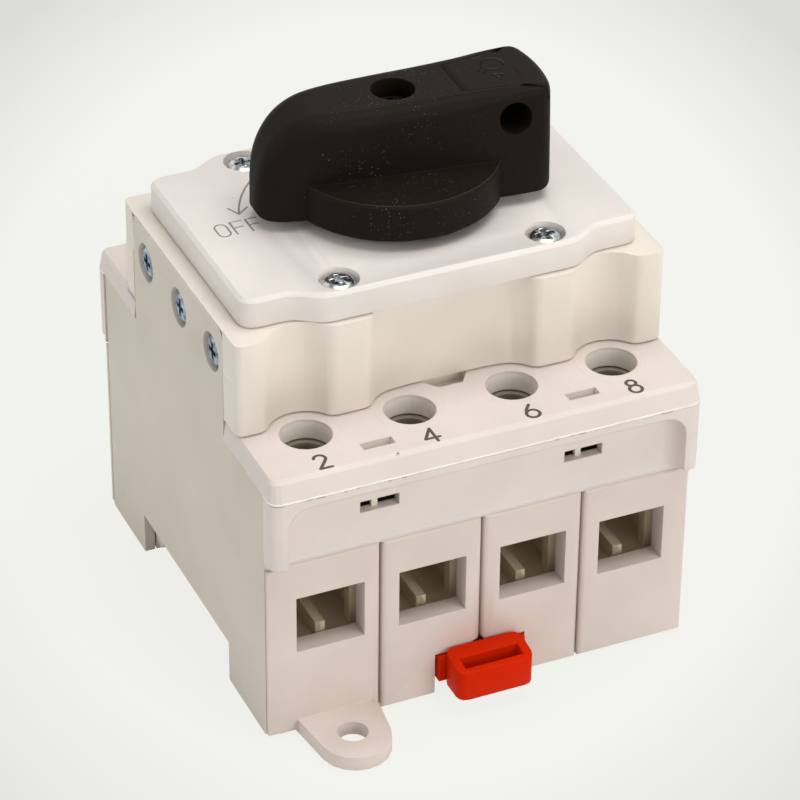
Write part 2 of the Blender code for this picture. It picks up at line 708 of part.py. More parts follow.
def cover_shell():
    """The cover's outside: upright to the parting line, then drawn in to the deck's soft edge."""
    rings = []
    for z, inset in (
        (SKIRT_LOW, 0.0),
        (COVER_PARTING, 0.0),
        (COVER_TOP - DECK_SOFT, DECK_BEVEL),
        (COVER_TOP, DECK_BEVEL + DECK_SOFT),
    ):
        low = (COVER_LEFT + inset / 2, -COVER_Y + inset)
        high = (COVER_RIGHT - inset / 2, COVER_Y - inset)
        rings.append([(x, y, z) for x, y in rounded(low, high, COVER_CORNER - inset / 2)])
    return loft(rings)


def terminal_cover(plastic):
    """The deck and its skirt over all four poles, in one moulding."""
    deck = (DECK_LOW - THROUGH, COVER_TOP + THROUGH)
    skirt = (SKIRT_LOW - THROUGH, DECK_LOW)
    past_left = COVER_LEFT - THROUGH
    beside_plate = SIDE_PLATE_Y + GAP
    cut = [
        block((past_left, boundary(POLES) + GAP / 2), (-SKIRT_INNER, SKIRT_INNER), skirt),
        block((past_left, ROW_LEFT + GAP / 2), (-beside_plate, beside_plate), skirt),
        block((past_left, -HALF_X + TONGUE_THICK + GAP), (TONGUE_FRONT - GAP, TONGUE_REAR + GAP), deck),
    ]
    for side in (FRONT, REAR):
        cut.append(panel_cutter(side))
        leg_y = span(side, PANEL_Y, COVER_Y + THROUGH)
        leg_z = (SKIRT_LOW - THROUGH, SKIRT_LOW + LEG_SHORTER)
        leg = PANEL_INSET + PANEL_CURVE
        cut.append(block((past_left, COVER_LEFT + leg), leg_y, leg_z))
        cut.append(block((COVER_RIGHT - leg, COVER_RIGHT + THROUGH), leg_y, leg_z))
        for index in SNAP_POLES:
            middle, skin = snap_x(index), span(side, SKIRT_INNER - THROUGH, PANEL_Y + THROUGH)
            cut.append(block((middle - SNAP_HALF, middle + SNAP_HALF), skin, (SNAP_LOW, SNAP_HIGH)))
            slot = boundary(index + 1)
            slot_y = span(side, UPPER_Y + DECK_SLOT_Y[0], UPPER_Y + DECK_SLOT_Y[1])
            slot_z = (COVER_TOP - DECK_SLOT_DEEP, COVER_TOP + THROUGH)
            cut.append(block((slot - DECK_SLOT_HALF, slot + DECK_SLOT_HALF), slot_y, slot_z))
        for index in range(POLES):
            cut.append(rod((terminal_x(index), side * TERMINAL_Y), ACCESS_RADIUS, "z", *deck))
        foot = [(x, -side * (RECESS_Y + y)) for x, y in FOOT_RECESS]
        cut.append(prism(foot, "z", COVER_TOP - DECK_SLOT_DEEP, COVER_TOP + THROUGH))
    for index in range(POLES):
        x = terminal_x(index)
        cut.append(block((x - LEG_HOLE_X, x + LEG_HOLE_X), (-LEG_HOLE_Y, LEG_HOLE_Y), deck))
    for x in (-SPRING_X, SPRING_X):
        cut.append(rod((x, 0.0), SPRING_WELL, "z", *deck, 20))
    return piece("terminal_cover", plastic, cover_shell(), (), cut)


def fluted_outline():
    """The mechanism housing seen from above: a flute round each access hole, between round shoulders."""
    shoulder_y = HOUSING_Y - SHOULDER_RADIUS
    apart, rise = FLUTE_RADIUS + SHOULDER_RADIUS, TERMINAL_Y - shoulder_y
    reach = math.sqrt(apart**2 - rise**2)
    angle = math.degrees(math.asin(rise / apart))
    inner, outer = terminal_x(2), terminal_x(3)
    corner = 1.2
    quarter = [(0.0, RECESS_Y), (inner - 2.0, RECESS_Y)]
    quarter += arc((inner, TERMINAL_Y), FLUTE_RADIUS, 270, 360 - angle, 5)
    quarter += arc((inner + reach, shoulder_y), SHOULDER_RADIUS, 180 - angle, 90, 3)
    quarter += arc((outer - reach, shoulder_y), SHOULDER_RADIUS, 90, angle, 3)
    quarter += arc((outer, TERMINAL_Y), FLUTE_RADIUS, 180 + angle, 360 - angle, 10)
    quarter += arc((outer + reach, shoulder_y), SHOULDER_RADIUS, 180 - angle, 90, 3)
    quarter += arc((HALF_X - corner, HOUSING_Y - corner), corner, 90, 0, 3)
    rear = [(-x, y) for x, y in reversed(quarter[1:])] + quarter
    return rear + [(x, -y) for x, y in reversed(rear)]


def mechanism_housing(plastic):
    """The fluted box for the cam and the carrier, closed above and open below."""
    cavity_left = -HALF_X + HOUSING_LEFT_WALL
    notch = -HALF_X + TONGUE_THICK + GAP
    roof = HOUSING_TOP - HOUSING_ROOF
    cavity_y = RECESS_Y - HOUSING_SIDE_WALL
    below = HOUSING_LOW - THROUGH
    cut = [
        block((cavity_left, HALF_X - HOUSING_RIGHT_WALL), (-cavity_y, cavity_y), (below, roof)),
        block(
            (-HALF_X - THROUGH, notch),
            (TONGUE_FRONT - GAP, TONGUE_REAR + GAP),
            (below, TONGUE_TOP + GAP),
        ),
        rod((0.0, 0.0), SPINDLE_RADIUS + GAP, "z", roof - THROUGH, HOUSING_TOP + THROUGH),
    ]
    screw_z = (SCREW_SEAT - SCREW_LENGTH - THROUGH, HOUSING_TOP + THROUGH)
    for centre in plate_screw_places():
        cut.append(rod(centre, SCREW_HOLE_RADIUS, "z", *screw_z, 12))
    side_x = (notch - THROUGH, cavity_left + THROUGH)
    for y in SIDE_SCREW_YS:
        cut.append(rod((y, SIDE_SCREW_Z), SCREW_HOLE_RADIUS, "x", *side_x, 12))
    body = prism(fluted_outline(), "z", HOUSING_LOW, HOUSING_TOP)
    return piece("mechanism_housing", plastic, body, (), cut)


def plate_outline(inset=0.0):
    """The top plate seen from above: narrower at its corners, with a soft step to its middle."""
    corner = 2.4 - inset
    half_x = HALF_X - PLATE_INSET_X - inset
    corner_y, middle_y = HOUSING_Y - PLATE_CORNER_IN - inset, HOUSING_Y - PLATE_MIDDLE_IN - inset
    start, end = HALF_X - PLATE_STEP_FAR, HALF_X - PLATE_STEP_NEAR
    steps = 5
    quarter = []
    for i in range(steps + 1):
        blend = (1.0 - math.cos(math.pi * i / steps)) / 2
        quarter.append((start + (end - start) * i / steps, middle_y + (corner_y - middle_y) * blend))
    quarter += arc((half_x - corner, corner_y - corner), corner, 90, 0, 4)
    rear = [(-x, y) for x, y in reversed(quarter)] + quarter
    return rear + [(x, -y) for x, y in reversed(rear)]


def plate_screw_places():
    """The four screws of the top plate, front ones first."""
    y = HOUSING_Y - PLATE_SCREW_IN
    return [(x, side * y) for side in (FRONT, REAR) for x in (-PLATE_SCREW_X, PLATE_SCREW_X)]


def lock_track():
    """The groove for the lock slide's toe: a quarter turn, with a notch outwards at OFF only."""
    half = TOE_HALF + 0.4
    past = 7
    inner = arc((0.0, 0.0), TOE_RADIUS - half, -90 - past, past, 12)
    outer = arc((0.0, 0.0), TOE_RADIUS + half, past, -90 - past, 12)
    reach = TOE_RADIUS + LATCH_TRAVEL + half
    on_circle = math.sqrt((TOE_RADIUS + half) ** 2 - half**2)
    notch = [(on_circle, half), (reach, half), (reach, -half), (on_circle, -half)]
    before = [point for point in outer if point[1] > half]
    after = [point for point in outer if point[1] < -half]
    return prism(inner + before + notch + after, "z", PLATE_TOP - TRACK_DEEP, PLATE_TOP + THROUGH)


def top_plate(plastic):
    """The plate under the handle, hollow below, with the lock slide's track in its face."""
    rings = [
        [(x, y, PLATE_LOW) for x, y in plate_outline()],
        [(x, y, PLATE_TOP - PLATE_SOFT) for x, y in plate_outline()],
        [(x, y, PLATE_TOP) for x, y in plate_outline(PLATE_SOFT)],
    ]
    below = PLATE_LOW - THROUGH
    middle_y = HOUSING_Y - PLATE_MIDDLE_IN - PLATE_RIM
    wing_y = HOUSING_Y - PLATE_CORNER_IN - PLATE_RIM
    wing_high = HALF_X - PLATE_INSET_X - PLATE_RIM
    middle_x = (-PLATE_HOLLOW_X, PLATE_HOLLOW_X)
    cut = [block(middle_x, (-middle_y, middle_y), (below, PLATE_LOW + TRACK_DEEP))]
    for wing in ((-wing_high, -PLATE_WING_X), (PLATE_WING_X, wing_high)):
        cut.append(block(wing, (-wing_y, wing_y), (below, PLATE_TOP - SCREW_RECESS)))
    cut.append(rod((0.0, 0.0), SPINDLE_RADIUS + OVERLAP, "z", below, PLATE_TOP + THROUGH))
    cut.append(lock_track())
    for centre in plate_screw_places():
        cut.append(rod(centre, SCREW_RECESS_RADIUS, "z", PLATE_TOP - SCREW_RECESS, PLATE_TOP + THROUGH, 24))
        cut.append(rod(centre, SCREW_HOLE_RADIUS, "z", below, PLATE_TOP, 12))
    return piece("top_plate", plastic, loft(rings), (), cut)


def cross_recess(centre, face, size, deep, axis="z"):
    """The crossing slots of a screw's drive, cut from its face; deep is negative where that faces down."""
    thin = size * 0.27
    reach = sorted((face - deep, face + math.copysign(THROUGH, deep)))
    slots = []
    for half_u, half_v in ((size, thin), (thin, size)):
        low = (centre[0] - half_u, centre[1] - half_v)
        high = (centre[0] + half_u, centre[1] + half_v)
        slots.append(prism(rounded(low, high, 0.1, 1), axis, *reach))
    return slots


def plate_screw(number, x, y, steel):
    """A pan head screw that holds the top plate down through the mechanism housing."""
    shank, low, crown = SCREW_SHANK_RADIUS, SCREW_SEAT - SCREW_LENGTH, SCREW_SEAT + SCREW_HEAD
    profile = [(0.0, low), (shank, low + 0.4), (shank, SCREW_SEAT), (SCREW_HEAD_RADIUS, SCREW_SEAT)]
    profile += [(SCREW_HEAD_RADIUS, crown - 0.6), (SCREW_HEAD_RADIUS - 0.7, crown - 0.1), (0.0, crown)]
    cut = cross_recess((x, y), crown, 1.5, 1.0)
    body = turned(profile, (x, y), 20)
    return piece(f"plate_screw_{number}", steel, body, (), cut, pivot=(x, y, SCREW_SEAT))


def side_screw(number, y, steel):
    """A screw through the side plate's tongue into the mechanism housing."""
    shank, seat, radius = SCREW_SHANK_RADIUS, SIDE_SCREW_HEAD, SCREW_HEAD_RADIUS
    profile = [(0.0, 0.0), (radius - 0.7, 0.05), (radius, 0.5), (radius, seat)]
    profile += [(shank, seat), (shank, seat + SIDE_SCREW_LENGTH - 0.4), (0.0, seat + SIDE_SCREW_LENGTH)]
    face = -HALF_X + SIDE_SCREW_RECESS - SEAT_GAP - SIDE_SCREW_HEAD
    body = turned(profile, segments=20)
    body.transform(Matrix.Translation((face, y, SIDE_SCREW_Z)) @ Matrix.Rotation(math.pi / 2, 4, "Y"))
    cut = cross_recess((y, SIDE_SCREW_Z), face, 1.5, -0.8, "x")
    return piece(f"side_screw_{number}", steel, closed(body), (), cut, pivot=(face, y, SIDE_SCREW_Z))


def grip_sections():
    """Sections of the grip from its nose to its tail, each a rounded bar on the handle's level underside."""
    nose, tail = GRIP_TABLE[0][0], TAIL_RADIUS + THROUGH
    nose_low = HANDLE_LOW + NOSE_RISE
    nose_high = HANDLE_TOP - nose_low
    blunt = math.sqrt(1.0 - (NOSE_FACE / nose_high) ** 2)
    steps = 9
    edge = 0.5
    stations = []
    for i in range(steps):
        angle = math.radians(90.0 * i / steps)
        x = NOSE_MIDDLE - (NOSE_MIDDLE - nose) * math.cos(angle)
        rise = math.sqrt(1.0 - (math.cos(angle) * blunt) ** 2)
        stations.append((x, nose_low + nose_high * rise))
    for i in range(steps + 1):
        stations.append((NOSE_MIDDLE + (tail - NOSE_MIDDLE) * i / steps, HANDLE_TOP))
    rings = []
    for x, top in stations:
        foot, less, radius = eased(GRIP_TABLE, x)
        crown = foot - less
        side = [(foot - edge, HANDLE_LOW), (foot, HANDLE_LOW + edge)]
        side += arc((crown - radius, top - radius), radius, 0, 90, 6)
        rings.append([(x, y, z) for y, z in side] + [(x, -y, z) for y, z in reversed(side)])
    return rings


def handle(plastic):
    """The disc and the grip in one moulding, with the lock slide's pocket in the tail."""
    below, above = HANDLE_LOW - THROUGH, HANDLE_TOP + THROUGH
    edge = 0.4
    disc = [(0.0, HANDLE_LOW), (DISC_RADIUS - edge, HANDLE_LOW), (DISC_RADIUS, HANDLE_LOW + edge)]
    disc += [(DISC_RADIUS, DISC_TOP - edge), (DISC_RADIUS - edge, DISC_TOP), (0.0, DISC_TOP)]
    half_square = SQUARE / 2 + GAP / 2
    latch_y, stem_y = LATCH_HALF_Y + GAP, STEM_HALF_Y + GAP
    pocket_floor = HANDLE_TOP - LATCH_PLATE - GAP
    start, stem_end = LATCH_START - GAP, STEM_END + LATCH_TRAVEL + GAP
    neck = (SOCKET_TOP - THROUGH, HANDLE_BORE_FLOOR + THROUGH)
    cut = [
        block((-half_square, half_square), (-half_square, half_square), (below, SOCKET_TOP)),
        rod((0.0, 0.0), HANDLE_BORE, "z", HANDLE_BORE_FLOOR, above, 32),
        rod((0.0, 0.0), HANDLE_SCREW_RADIUS + GAP, "z", *neck, 16),
        block((start, TAIL_RADIUS + THROUGH), (-latch_y, latch_y), (pocket_floor, above)),
        block((start, stem_end), (-stem_y, stem_y), (below, pocket_floor + THROUGH)),
        rod((PADLOCK_X, PADLOCK_Z), PADLOCK_RADIUS, "y", -HANDLE_BESIDE, HANDLE_BESIDE, 24),
    ]
    tail = rod((0.0, 0.0), TAIL_RADIUS, "z", below, above, 72)
    return piece("handle", plastic, loft(grip_sections()), [turned(disc, segments=56)], cut, [tail])


def lock_latch(plastic):
    """The lock slide: pulled out at OFF, it brings its hole in line with the padlock hole in the grip."""
    plate_low = HANDLE_TOP - LATCH_PLATE
    tail = TAIL_RADIUS - 0.1
    half = LATCH_HALF_Y
    wide = math.degrees(math.asin(half / tail))
    outline = [(LATCH_START, -half), *arc((0.0, 0.0), tail, -wide, wide, 6), (LATCH_START, half)]
    stem_y, stem_z = (-STEM_HALF_Y, STEM_HALF_Y), (HANDLE_LOW + GAP, plate_low + OVERLAP)
    stem = block((LATCH_START, STEM_END), stem_y, stem_z)
    toe_x, toe_y = (TOE_RADIUS - TOE_HALF, TOE_RADIUS + TOE_HALF), (-TOE_HALF, TOE_HALF)
    toe = block(toe_x, toe_y, (PLATE_TOP - TRACK_DEEP + GAP, HANDLE_LOW + THROUGH))
    centre = (PADLOCK_X - LATCH_TRAVEL, PADLOCK_Z - 1.0)
    hole = rod(centre, PADLOCK_RADIUS - 0.4, "y", -half, half, 20)
    plate = prism(outline, "z", plate_low, HANDLE_TOP)
    return piece("lock_latch", plastic, plate, [stem, toe], [hole], pivot=(0.0, 0.0, plate_low))


def handle_screw(steel):
    """The screw that holds the handle on the spindle."""
    seat, radius, head, high = HANDLE_BORE_FLOOR + GAP, HANDLE_SCREW_RADIUS, HANDLE_BORE - 0.4, 2.3
    low = seat - HANDLE_SCREW_LENGTH
    profile = [(0.0, low), (radius, low + 0.5), (radius, seat), (head, seat), (head, seat + high - 0.9)]
    profile += [(head - 0.7, seat + high - 0.1), (0.0, seat + high)]
    cut = cross_recess((0.0, 0.0), seat + high, 1.7, 1.2)
    return piece("handle_screw", steel, turned(profile, segments=24), (), cut, pivot=(0.0, 0.0, seat))


def cam_profile(angle):
    """How far the cam reaches down at an angle in degrees, counted against the clock from a follower.

    One lobe fills half a turn: flat over the follower, a straight ramp through the quarter
    turn of the handle, flat again, and a steeper ramp back.
    """
    at = angle % 180.0
    down_start, down_end, up_start, up_end = CAM_DEGREES
    if down_start < at < down_end:
        return TRAVEL * (at - down_start) / (down_end - down_start)
    if down_end <= at <= up_start:
        return TRAVEL
    if up_start < at < up_end:
        return TRAVEL * (up_end - at) / (up_end - up_start)
    return 0.0


def cam_spindle(plastic):
    """The cam and its spindle in one moulding: face cam below, square for the handle above."""
    steps = 36
    core = PIN_RADIUS - 0.2
    rings = []
    for i in range(steps):
        angle = math.tau * i / steps
        ramp = CAM_LOW - cam_profile(math.degrees(angle))
        section = [(core, CAM_TOP), (CAM_OUTER, CAM_TOP), (CAM_OUTER, ramp), (CAM_INNER, ramp)]
        section += [(CAM_INNER, CAM_TOP - CAM_DISC), (core, CAM_TOP - CAM_DISC)]
        rings.append([(r * math.cos(angle), r * math.sin(angle), z) for r, z in section])
    half, tip = SQUARE / 2, 0.3
    neck, top = CAM_TOP - CAM_DISC / 2, HANDLE_LOW - GAP
    shaft = [(0.0, HOUSING_LOW), (PIN_RADIUS - tip, HOUSING_LOW), (PIN_RADIUS, HOUSING_LOW + tip)]
    shaft += [(PIN_RADIUS, neck), (SPINDLE_RADIUS, neck), (SPINDLE_RADIUS, top), (0.0, top)]
    square = prism(rounded((-half, -half), (half, half), 0.5, 1), "z", top - OVERLAP, SOCKET_TOP - GAP)
    screw_low = HANDLE_BORE_FLOOR + GAP - HANDLE_SCREW_LENGTH
    bore = rod((0.0, 0.0), HANDLE_SCREW_RADIUS + 0.2, "z", screw_low - OVERLAP, SOCKET_TOP + THROUGH, 16)
    return piece("cam_spindle", plastic, loft(rings, cyclic=True), [turned(shaft), square], [bore])


def contact_carrier(plastic):
    """The bar under the cam, with a leg into each pole that carries its contact bridge."""
    end = terminal_x(POLES - 1) + LEG_X + 0.3
    joined = []
    cut = [rod((0.0, 0.0), PIN_RADIUS + GAP, "z", BAR_LOW - THROUGH, BAR_TOP + THROUGH, 20)]
    bridge_z = (BRIDGE_LOW - GAP, BRIDGE_TOP + GAP)
    for index in range(POLES):
        x = terminal_x(index)
        joined.append(block((x - LEG_X, x + LEG_X), (-LEG_Y, LEG_Y), (BRIDGE_LOW - 2.0, BAR_LOW + THROUGH)))
        bridge_x = (x - BRIDGE_HALF_X - GAP, x + BRIDGE_HALF_X + GAP)
        cut.append(block(bridge_x, (-LEG_Y - THROUGH, LEG_Y + THROUGH), bridge_z))
    middle = (CAM_INNER + CAM_OUTER) / 2
    for side in (-1, 1):
        nub_x = sorted((side * (middle - NUB_HALF_X), side * (middle + NUB_HALF_X)))
        joined.append(block(nub_x, (-NUB_HALF_Y, NUB_HALF_Y), (BAR_TOP - THROUGH, NUB_TOP)))
    bar = block((-end, end), (-LEG_Y - 0.4, LEG_Y + 0.4), (BAR_LOW, BAR_TOP))
    return piece("contact_carrier", plastic, bar, joined, cut)


def moving_contact(index, copper):
    """A contact bridge with a tip at each end."""
    x = terminal_x(index)
    half_y = CONTACT_Y + BRIDGE_END
    outline = rounded((x - BRIDGE_HALF_X, -half_y), (x + BRIDGE_HALF_X, half_y), 1.0, 2)
    tip = (BRIDGE_LOW - CONTACT_THICK, BRIDGE_LOW + OVERLAP)
    tips = [rod((x, side * CONTACT_Y), CONTACT_RADIUS, "z", *tip, 14) for side in (FRONT, REAR)]
    return piece(f"moving_contact_{index + 1}", copper, prism(outline, "z", BRIDGE_LOW, BRIDGE_TOP), tips)


def fixed_contact(index, side, copper):
    """A busbar from a terminal clamp to its contact tip, standing on a heel in the chamber."""
    x = terminal_x(index)
    across = (x - STRIP_HALF_X, x + STRIP_HALF_X)
    strip = block(across, span(side, STRIP_END_Y, TERMINAL_Y + CLAMP_HALF_Y - 0.4), (STRIP_LOW, STRIP_TOP))
    heel_y = span(side, STRIP_END_Y, STRIP_END_Y + STRIP_THICK)
    heel = block(across, heel_y, (CHAMBER_FLOOR + GAP, STRIP_LOW + OVERLAP))
    tip = rod((x, side * CONTACT_Y), CONTACT_RADIUS, "z", STRIP_TOP - OVERLAP, TIP_TOP, 14)
    return piece(f"fixed_contact_{SIDE_NAMES[side]}_{index + 1}", copper, strip, [heel, tip])


def terminal_clamp(index, side, steel):
    """A cage round the wire and the busbar, with the screw's thread in its thick top."""
    x, y = terminal_x(index), side * TERMINAL_Y
    inner = CLAMP_HALF_X - CLAMP_WALL
    past = CLAMP_HALF_Y + THROUGH
    across, along = (x - CLAMP_HALF_X, x + CLAMP_HALF_X), (y - CLAMP_HALF_Y, y + CLAMP_HALF_Y)
    body = block(across, along, (CLAMP_LOW, CLAMP_TOP))
    tunnel = block((x - inner, x + inner), (y - past, y + past), (CLAMP_LOW + CLAMP_FLOOR, CLAMP_TUNNEL_TOP))
    nut = (CLAMP_TUNNEL_TOP - THROUGH, CLAMP_TOP + THROUGH)
    thread = rod((x, y), TERMINAL_SCREW_RADIUS + GAP, "z", *nut, 16)
    name = f"terminal_clamp_{SIDE_NAMES[side]}_{index + 1}"
    return piece(name, steel, body, (), [tunnel, thread], pivot=(x, y, CLAMP_LOW))


def terminal_screw(index, side, steel):
    """A slotted screw that draws its clamp up."""
    x, y = terminal_x(index), side * TERMINAL_Y
    low, head = STRIP_TOP + GAP, TERMINAL_HEAD_LOW
    top = head + TERMINAL_HEAD
    radius, edge = TERMINAL_SCREW_RADIUS, 0.4
    profile = [(0.0, low), (radius - edge, low), (radius, low + edge), (radius, head)]
    profile += [(TERMINAL_HEAD_RADIUS, head), (TERMINAL_HEAD_RADIUS, top - edge)]
    profile += [(TERMINAL_HEAD_RADIUS - edge, top), (0.0, top)]
    slot = block((x - 0.6, x + 0.6), (y - 4.0, y + 4.0), (top - 1.2, top + THROUGH))
    name = f"terminal_screw_{SIDE_NAMES[side]}_{index + 1}"
    return piece(name, steel, turned(profile, (x, y), 14), (), [slot], pivot=(x, y, head))


def carrier_spring(number, x, steel):
    """A coil spring that lifts the contact carrier."""
    low, high = POLE_HEIGHT + GAP, BAR_LOW - GAP
    turns, per_turn, around = 4.5, 12, 5
    count = round(turns * per_turn)
    rise = high - low - 2 * SPRING_WIRE
    rings = []
    for i in range(count + 1):
        angle = math.tau * i / per_turn
        height = low + SPRING_WIRE + rise * i / count
        ring = []
        for j in range(around):
            tilt = math.tau * j / around
            reach = SPRING_RADIUS + SPRING_WIRE * math.cos(tilt)
            z = height + SPRING_WIRE * math.sin(tilt)
            ring.append((x + reach * math.cos(angle), reach * math.sin(angle), z))
        rings.append(ring)
    return piece(f"carrier_spring_{number}", steel, loft(rings), pivot=(x, 0.0, low))


def rail_clip(plastic):
    """The clip that holds the rail: a slide with a hooked lug behind and a loop for a blade in front."""
    x, half = CLIP_MIDDLE, CLIP_OPENING / 2 - GAP
    front, end = -HALF_Y - CLIP_FLANGE, -HALF_Y - LOOP_REACH
    body = block((x - half, x + half), (front, CHANNEL_FRONT + GAP), (CLIP_LOW, CLIP_OPENING_HEIGHT - GAP))
    tip = CHANNEL_FRONT + HOOK_REACH
    root = CHANNEL_FRONT - 1.4
    low, high = HOOK_TIP
    lug = [(root, CLIP_LOW), (tip - 2.8, CLIP_LUG_LOW), (tip, low), (tip, high), (root, high)]
    wing_x = half + CLIP_WING
    outline = rounded((x - LOOP_HALF_X, end), (x + LOOP_HALF_X, front + OVERLAP), 1.5, 3)
    floor = [(px, py, LOOP_LOW) for px, py in outline]
    slope = LOOP_FALL / (LOOP_REACH - CLIP_FLANGE)
    roof = [(px, py, LOOP_HIGH - slope * (front - py)) for px, py in outline]
    joined = [
        prism(lug, "x", x - half, x + half),
        block((x - wing_x, x + wing_x), (CLIP_WING_FRONT, CLIP_WING_REAR), (CLIP_WING_LOW, CLIP_WING_HIGH)),
        loft([floor, roof]),
    ]
    slit_y = (end + LOOP_WALL, end + LOOP_WALL + SLIT_DEEP)
    slit = block((x - SLIT_HALF_X, x + SLIT_HALF_X), slit_y, (LOOP_LOW - THROUGH, LOOP_HIGH + THROUGH))
    pivot = (x, CHANNEL_FRONT, CLIP_OPENING_HEIGHT / 2)
    return piece("rail_clip", plastic, body, joined, [slit], pivot=pivot)


def build():
    for found in list(bpy.data.objects):
        bpy.data.objects.remove(found, do_unlink=True)
    body_plastic = material("body_plastic", (0.70, 0.63, 0.56), 0.5)
    cover_plastic = material("cover_plastic", (0.78, 0.71, 0.64), 0.5)
    handle_plastic = material("handle_plastic", (0.018, 0.014, 0.012), 0.62)
    clip_plastic = material("clip_plastic", (0.60, 0.02, 0.003), 0.45)
    inner_plastic = material("inner_plastic", (0.42, 0.40, 0.36), 0.5)
    zinc = material("zinc_steel", (0.72, 0.73, 0.75), 0.25, 1.0)
    copper = material("contact_copper", (0.80, 0.42, 0.26), 0.3, 1.0)
    spring_steel = material("spring_steel", (0.55, 0.55, 0.56), 0.3, 1.0)

    for index in range(POLES):
        pole_housing(index, body_plastic)
        moving_contact(index, copper)
        for side in (FRONT, REAR):
            fixed_contact(index, side, copper)
            terminal_clamp(index, side, zinc)
            terminal_screw(index, side, zinc)
    side_plate(body_plastic)
    terminal_cover(cover_plastic)
    mechanism_housing(cover_plastic)
    top_plate(cover_plastic)
    for number, (x, y) in enumerate(plate_screw_places(), 1):
        plate_screw(number, x, y, zinc)
    for number, y in enumerate(SIDE_SCREW_YS, 1):
        side_screw(number, y, zinc)
    handle(handle_plastic)
    lock_latch(handle_plastic)
    handle_screw(zinc)
    cam_spindle(inner_plastic)
    contact_carrier(inner_plastic)
    for number, x in enumerate((-SPRING_X, SPRING_X), 1):
        carrier_spring(number, x, spring_steel)
    rail_clip(clip_plastic)


build()
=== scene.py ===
# %% [markdown]
# # A four-pole dc isolator switch
#
# This lesson dresses a switch that is already built: its housings, screws, clamps and cam come from a
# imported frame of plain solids, each in its right place. Here they get soft edges, moulded plastic,
# zinc and print. The handle gets its full roundness, the cover its windows, and small marks of moulding
# and handling are added. No node is moved, so everything that turns or slides in the frame still does.

# %% Load the frame
import math

import bmesh
import bpy
from mathutils import Matrix, Vector


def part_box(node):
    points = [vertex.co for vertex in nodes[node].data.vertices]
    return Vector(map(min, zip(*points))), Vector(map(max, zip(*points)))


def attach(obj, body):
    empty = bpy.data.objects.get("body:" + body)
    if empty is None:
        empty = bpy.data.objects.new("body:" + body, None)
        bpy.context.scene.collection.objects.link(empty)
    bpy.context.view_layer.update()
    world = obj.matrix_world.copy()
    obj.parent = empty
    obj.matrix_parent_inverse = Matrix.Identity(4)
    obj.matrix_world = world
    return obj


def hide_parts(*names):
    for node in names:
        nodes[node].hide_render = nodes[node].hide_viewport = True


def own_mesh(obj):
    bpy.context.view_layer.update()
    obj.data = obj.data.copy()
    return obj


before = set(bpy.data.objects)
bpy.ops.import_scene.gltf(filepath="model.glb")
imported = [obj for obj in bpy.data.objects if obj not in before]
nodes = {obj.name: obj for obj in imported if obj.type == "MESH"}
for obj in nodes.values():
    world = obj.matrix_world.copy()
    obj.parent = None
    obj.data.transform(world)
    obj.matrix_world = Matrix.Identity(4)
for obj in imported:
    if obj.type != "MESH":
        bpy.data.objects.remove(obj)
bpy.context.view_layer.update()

scene = bpy.context.scene
MM = 0.001

# %% [markdown]
# ## Places taken from the frame
#
# The surfaces that carry print and trim come from the frame's own boxes, so that what lies on them stays
# on them when the switch is built a little taller or wider. Where a mark lies along its surface was
# measured in the photograph. The poles are counted from the left.

# %% Measure the surfaces that carry print and trim
deck_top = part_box("terminal_cover")[1].z
plate_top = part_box("top_plate")[1].z
latch_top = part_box("lock_latch")[1].z
side_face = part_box("side_plate")[0].x
front_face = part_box("pole_housing_2")[0].y
handle_low, handle_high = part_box("handle")
DISC_THICK = 0.0062
disc_top = handle_low.z + DISC_THICK
POLES = 4
sides = {"front": -1, "rear": 1}


def middle(name):
    """The middle of a node's box."""
    low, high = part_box(name)
    return (low + high) / 2


poles = range(1, POLES + 1)
terminals = {(word, n): middle(f"terminal_screw_{word}_{n}").xy for word in sides for n in poles}
print("deck at", round(deck_top, 4), "plate at", round(plate_top, 4), "terminals:", len(terminals))

# %% [markdown]
# ## The camera
#
# The photograph was taken from the front left and above with a long lens. The direction, distance and
# lens were worked out by fitting straight edges of the base and the deck, so the render can be laid over
# the photograph.

# %% Place the camera
def linked(name, data):
    """A new object in the scene that shows some data."""
    made = bpy.data.objects.new(name, data)
    scene.collection.objects.link(made)
    return made


AZIMUTH, ELEVATION, ROLL = math.radians(-24.226), math.radians(33.423), math.radians(0.574)
DISTANCE = 0.5995
LENS = 166.53
target = Vector((0.00145, -0.00065, 0.0328))
back = Vector(
    (
        math.sin(AZIMUTH) * math.cos(ELEVATION),
        -math.cos(AZIMUTH) * math.cos(ELEVATION),
        math.sin(ELEVATION),
    )
)
level = Vector((math.cos(AZIMUTH), math.sin(AZIMUTH), 0.0))
upright = back.cross(level)
right = level * math.cos(ROLL) + upright * math.sin(ROLL)
up = upright * math.cos(ROLL) - level * math.sin(ROLL)
camera = linked("camera", bpy.data.cameras.new("camera"))
camera.data.lens = LENS
camera.data.sensor_width = 36.0
camera.data.clip_start = 0.01
facing = Matrix((right, up, back)).transposed().to_4x4()
camera.matrix_world = Matrix.Translation(target + back * DISTANCE) @ facing
scene.camera = camera
scene.view_settings.view_transform = "Standard"
print("camera at", [round(v, 3) for v in camera.matrix_world.translation])

# %% [markdown]
# ## Writing shaders as sums
#
# A surface here is described by short formulas, such as "a little darker where the noise is low". The
# first class below wraps a socket, so that a formula written in Python adds the Math nodes that it needs.
# Any other node, also of the Geometry Nodes below, comes from `Formulas.node`, which sets a node's own
# options first and then its inputs. A `Finish` is a material that is written in this way.

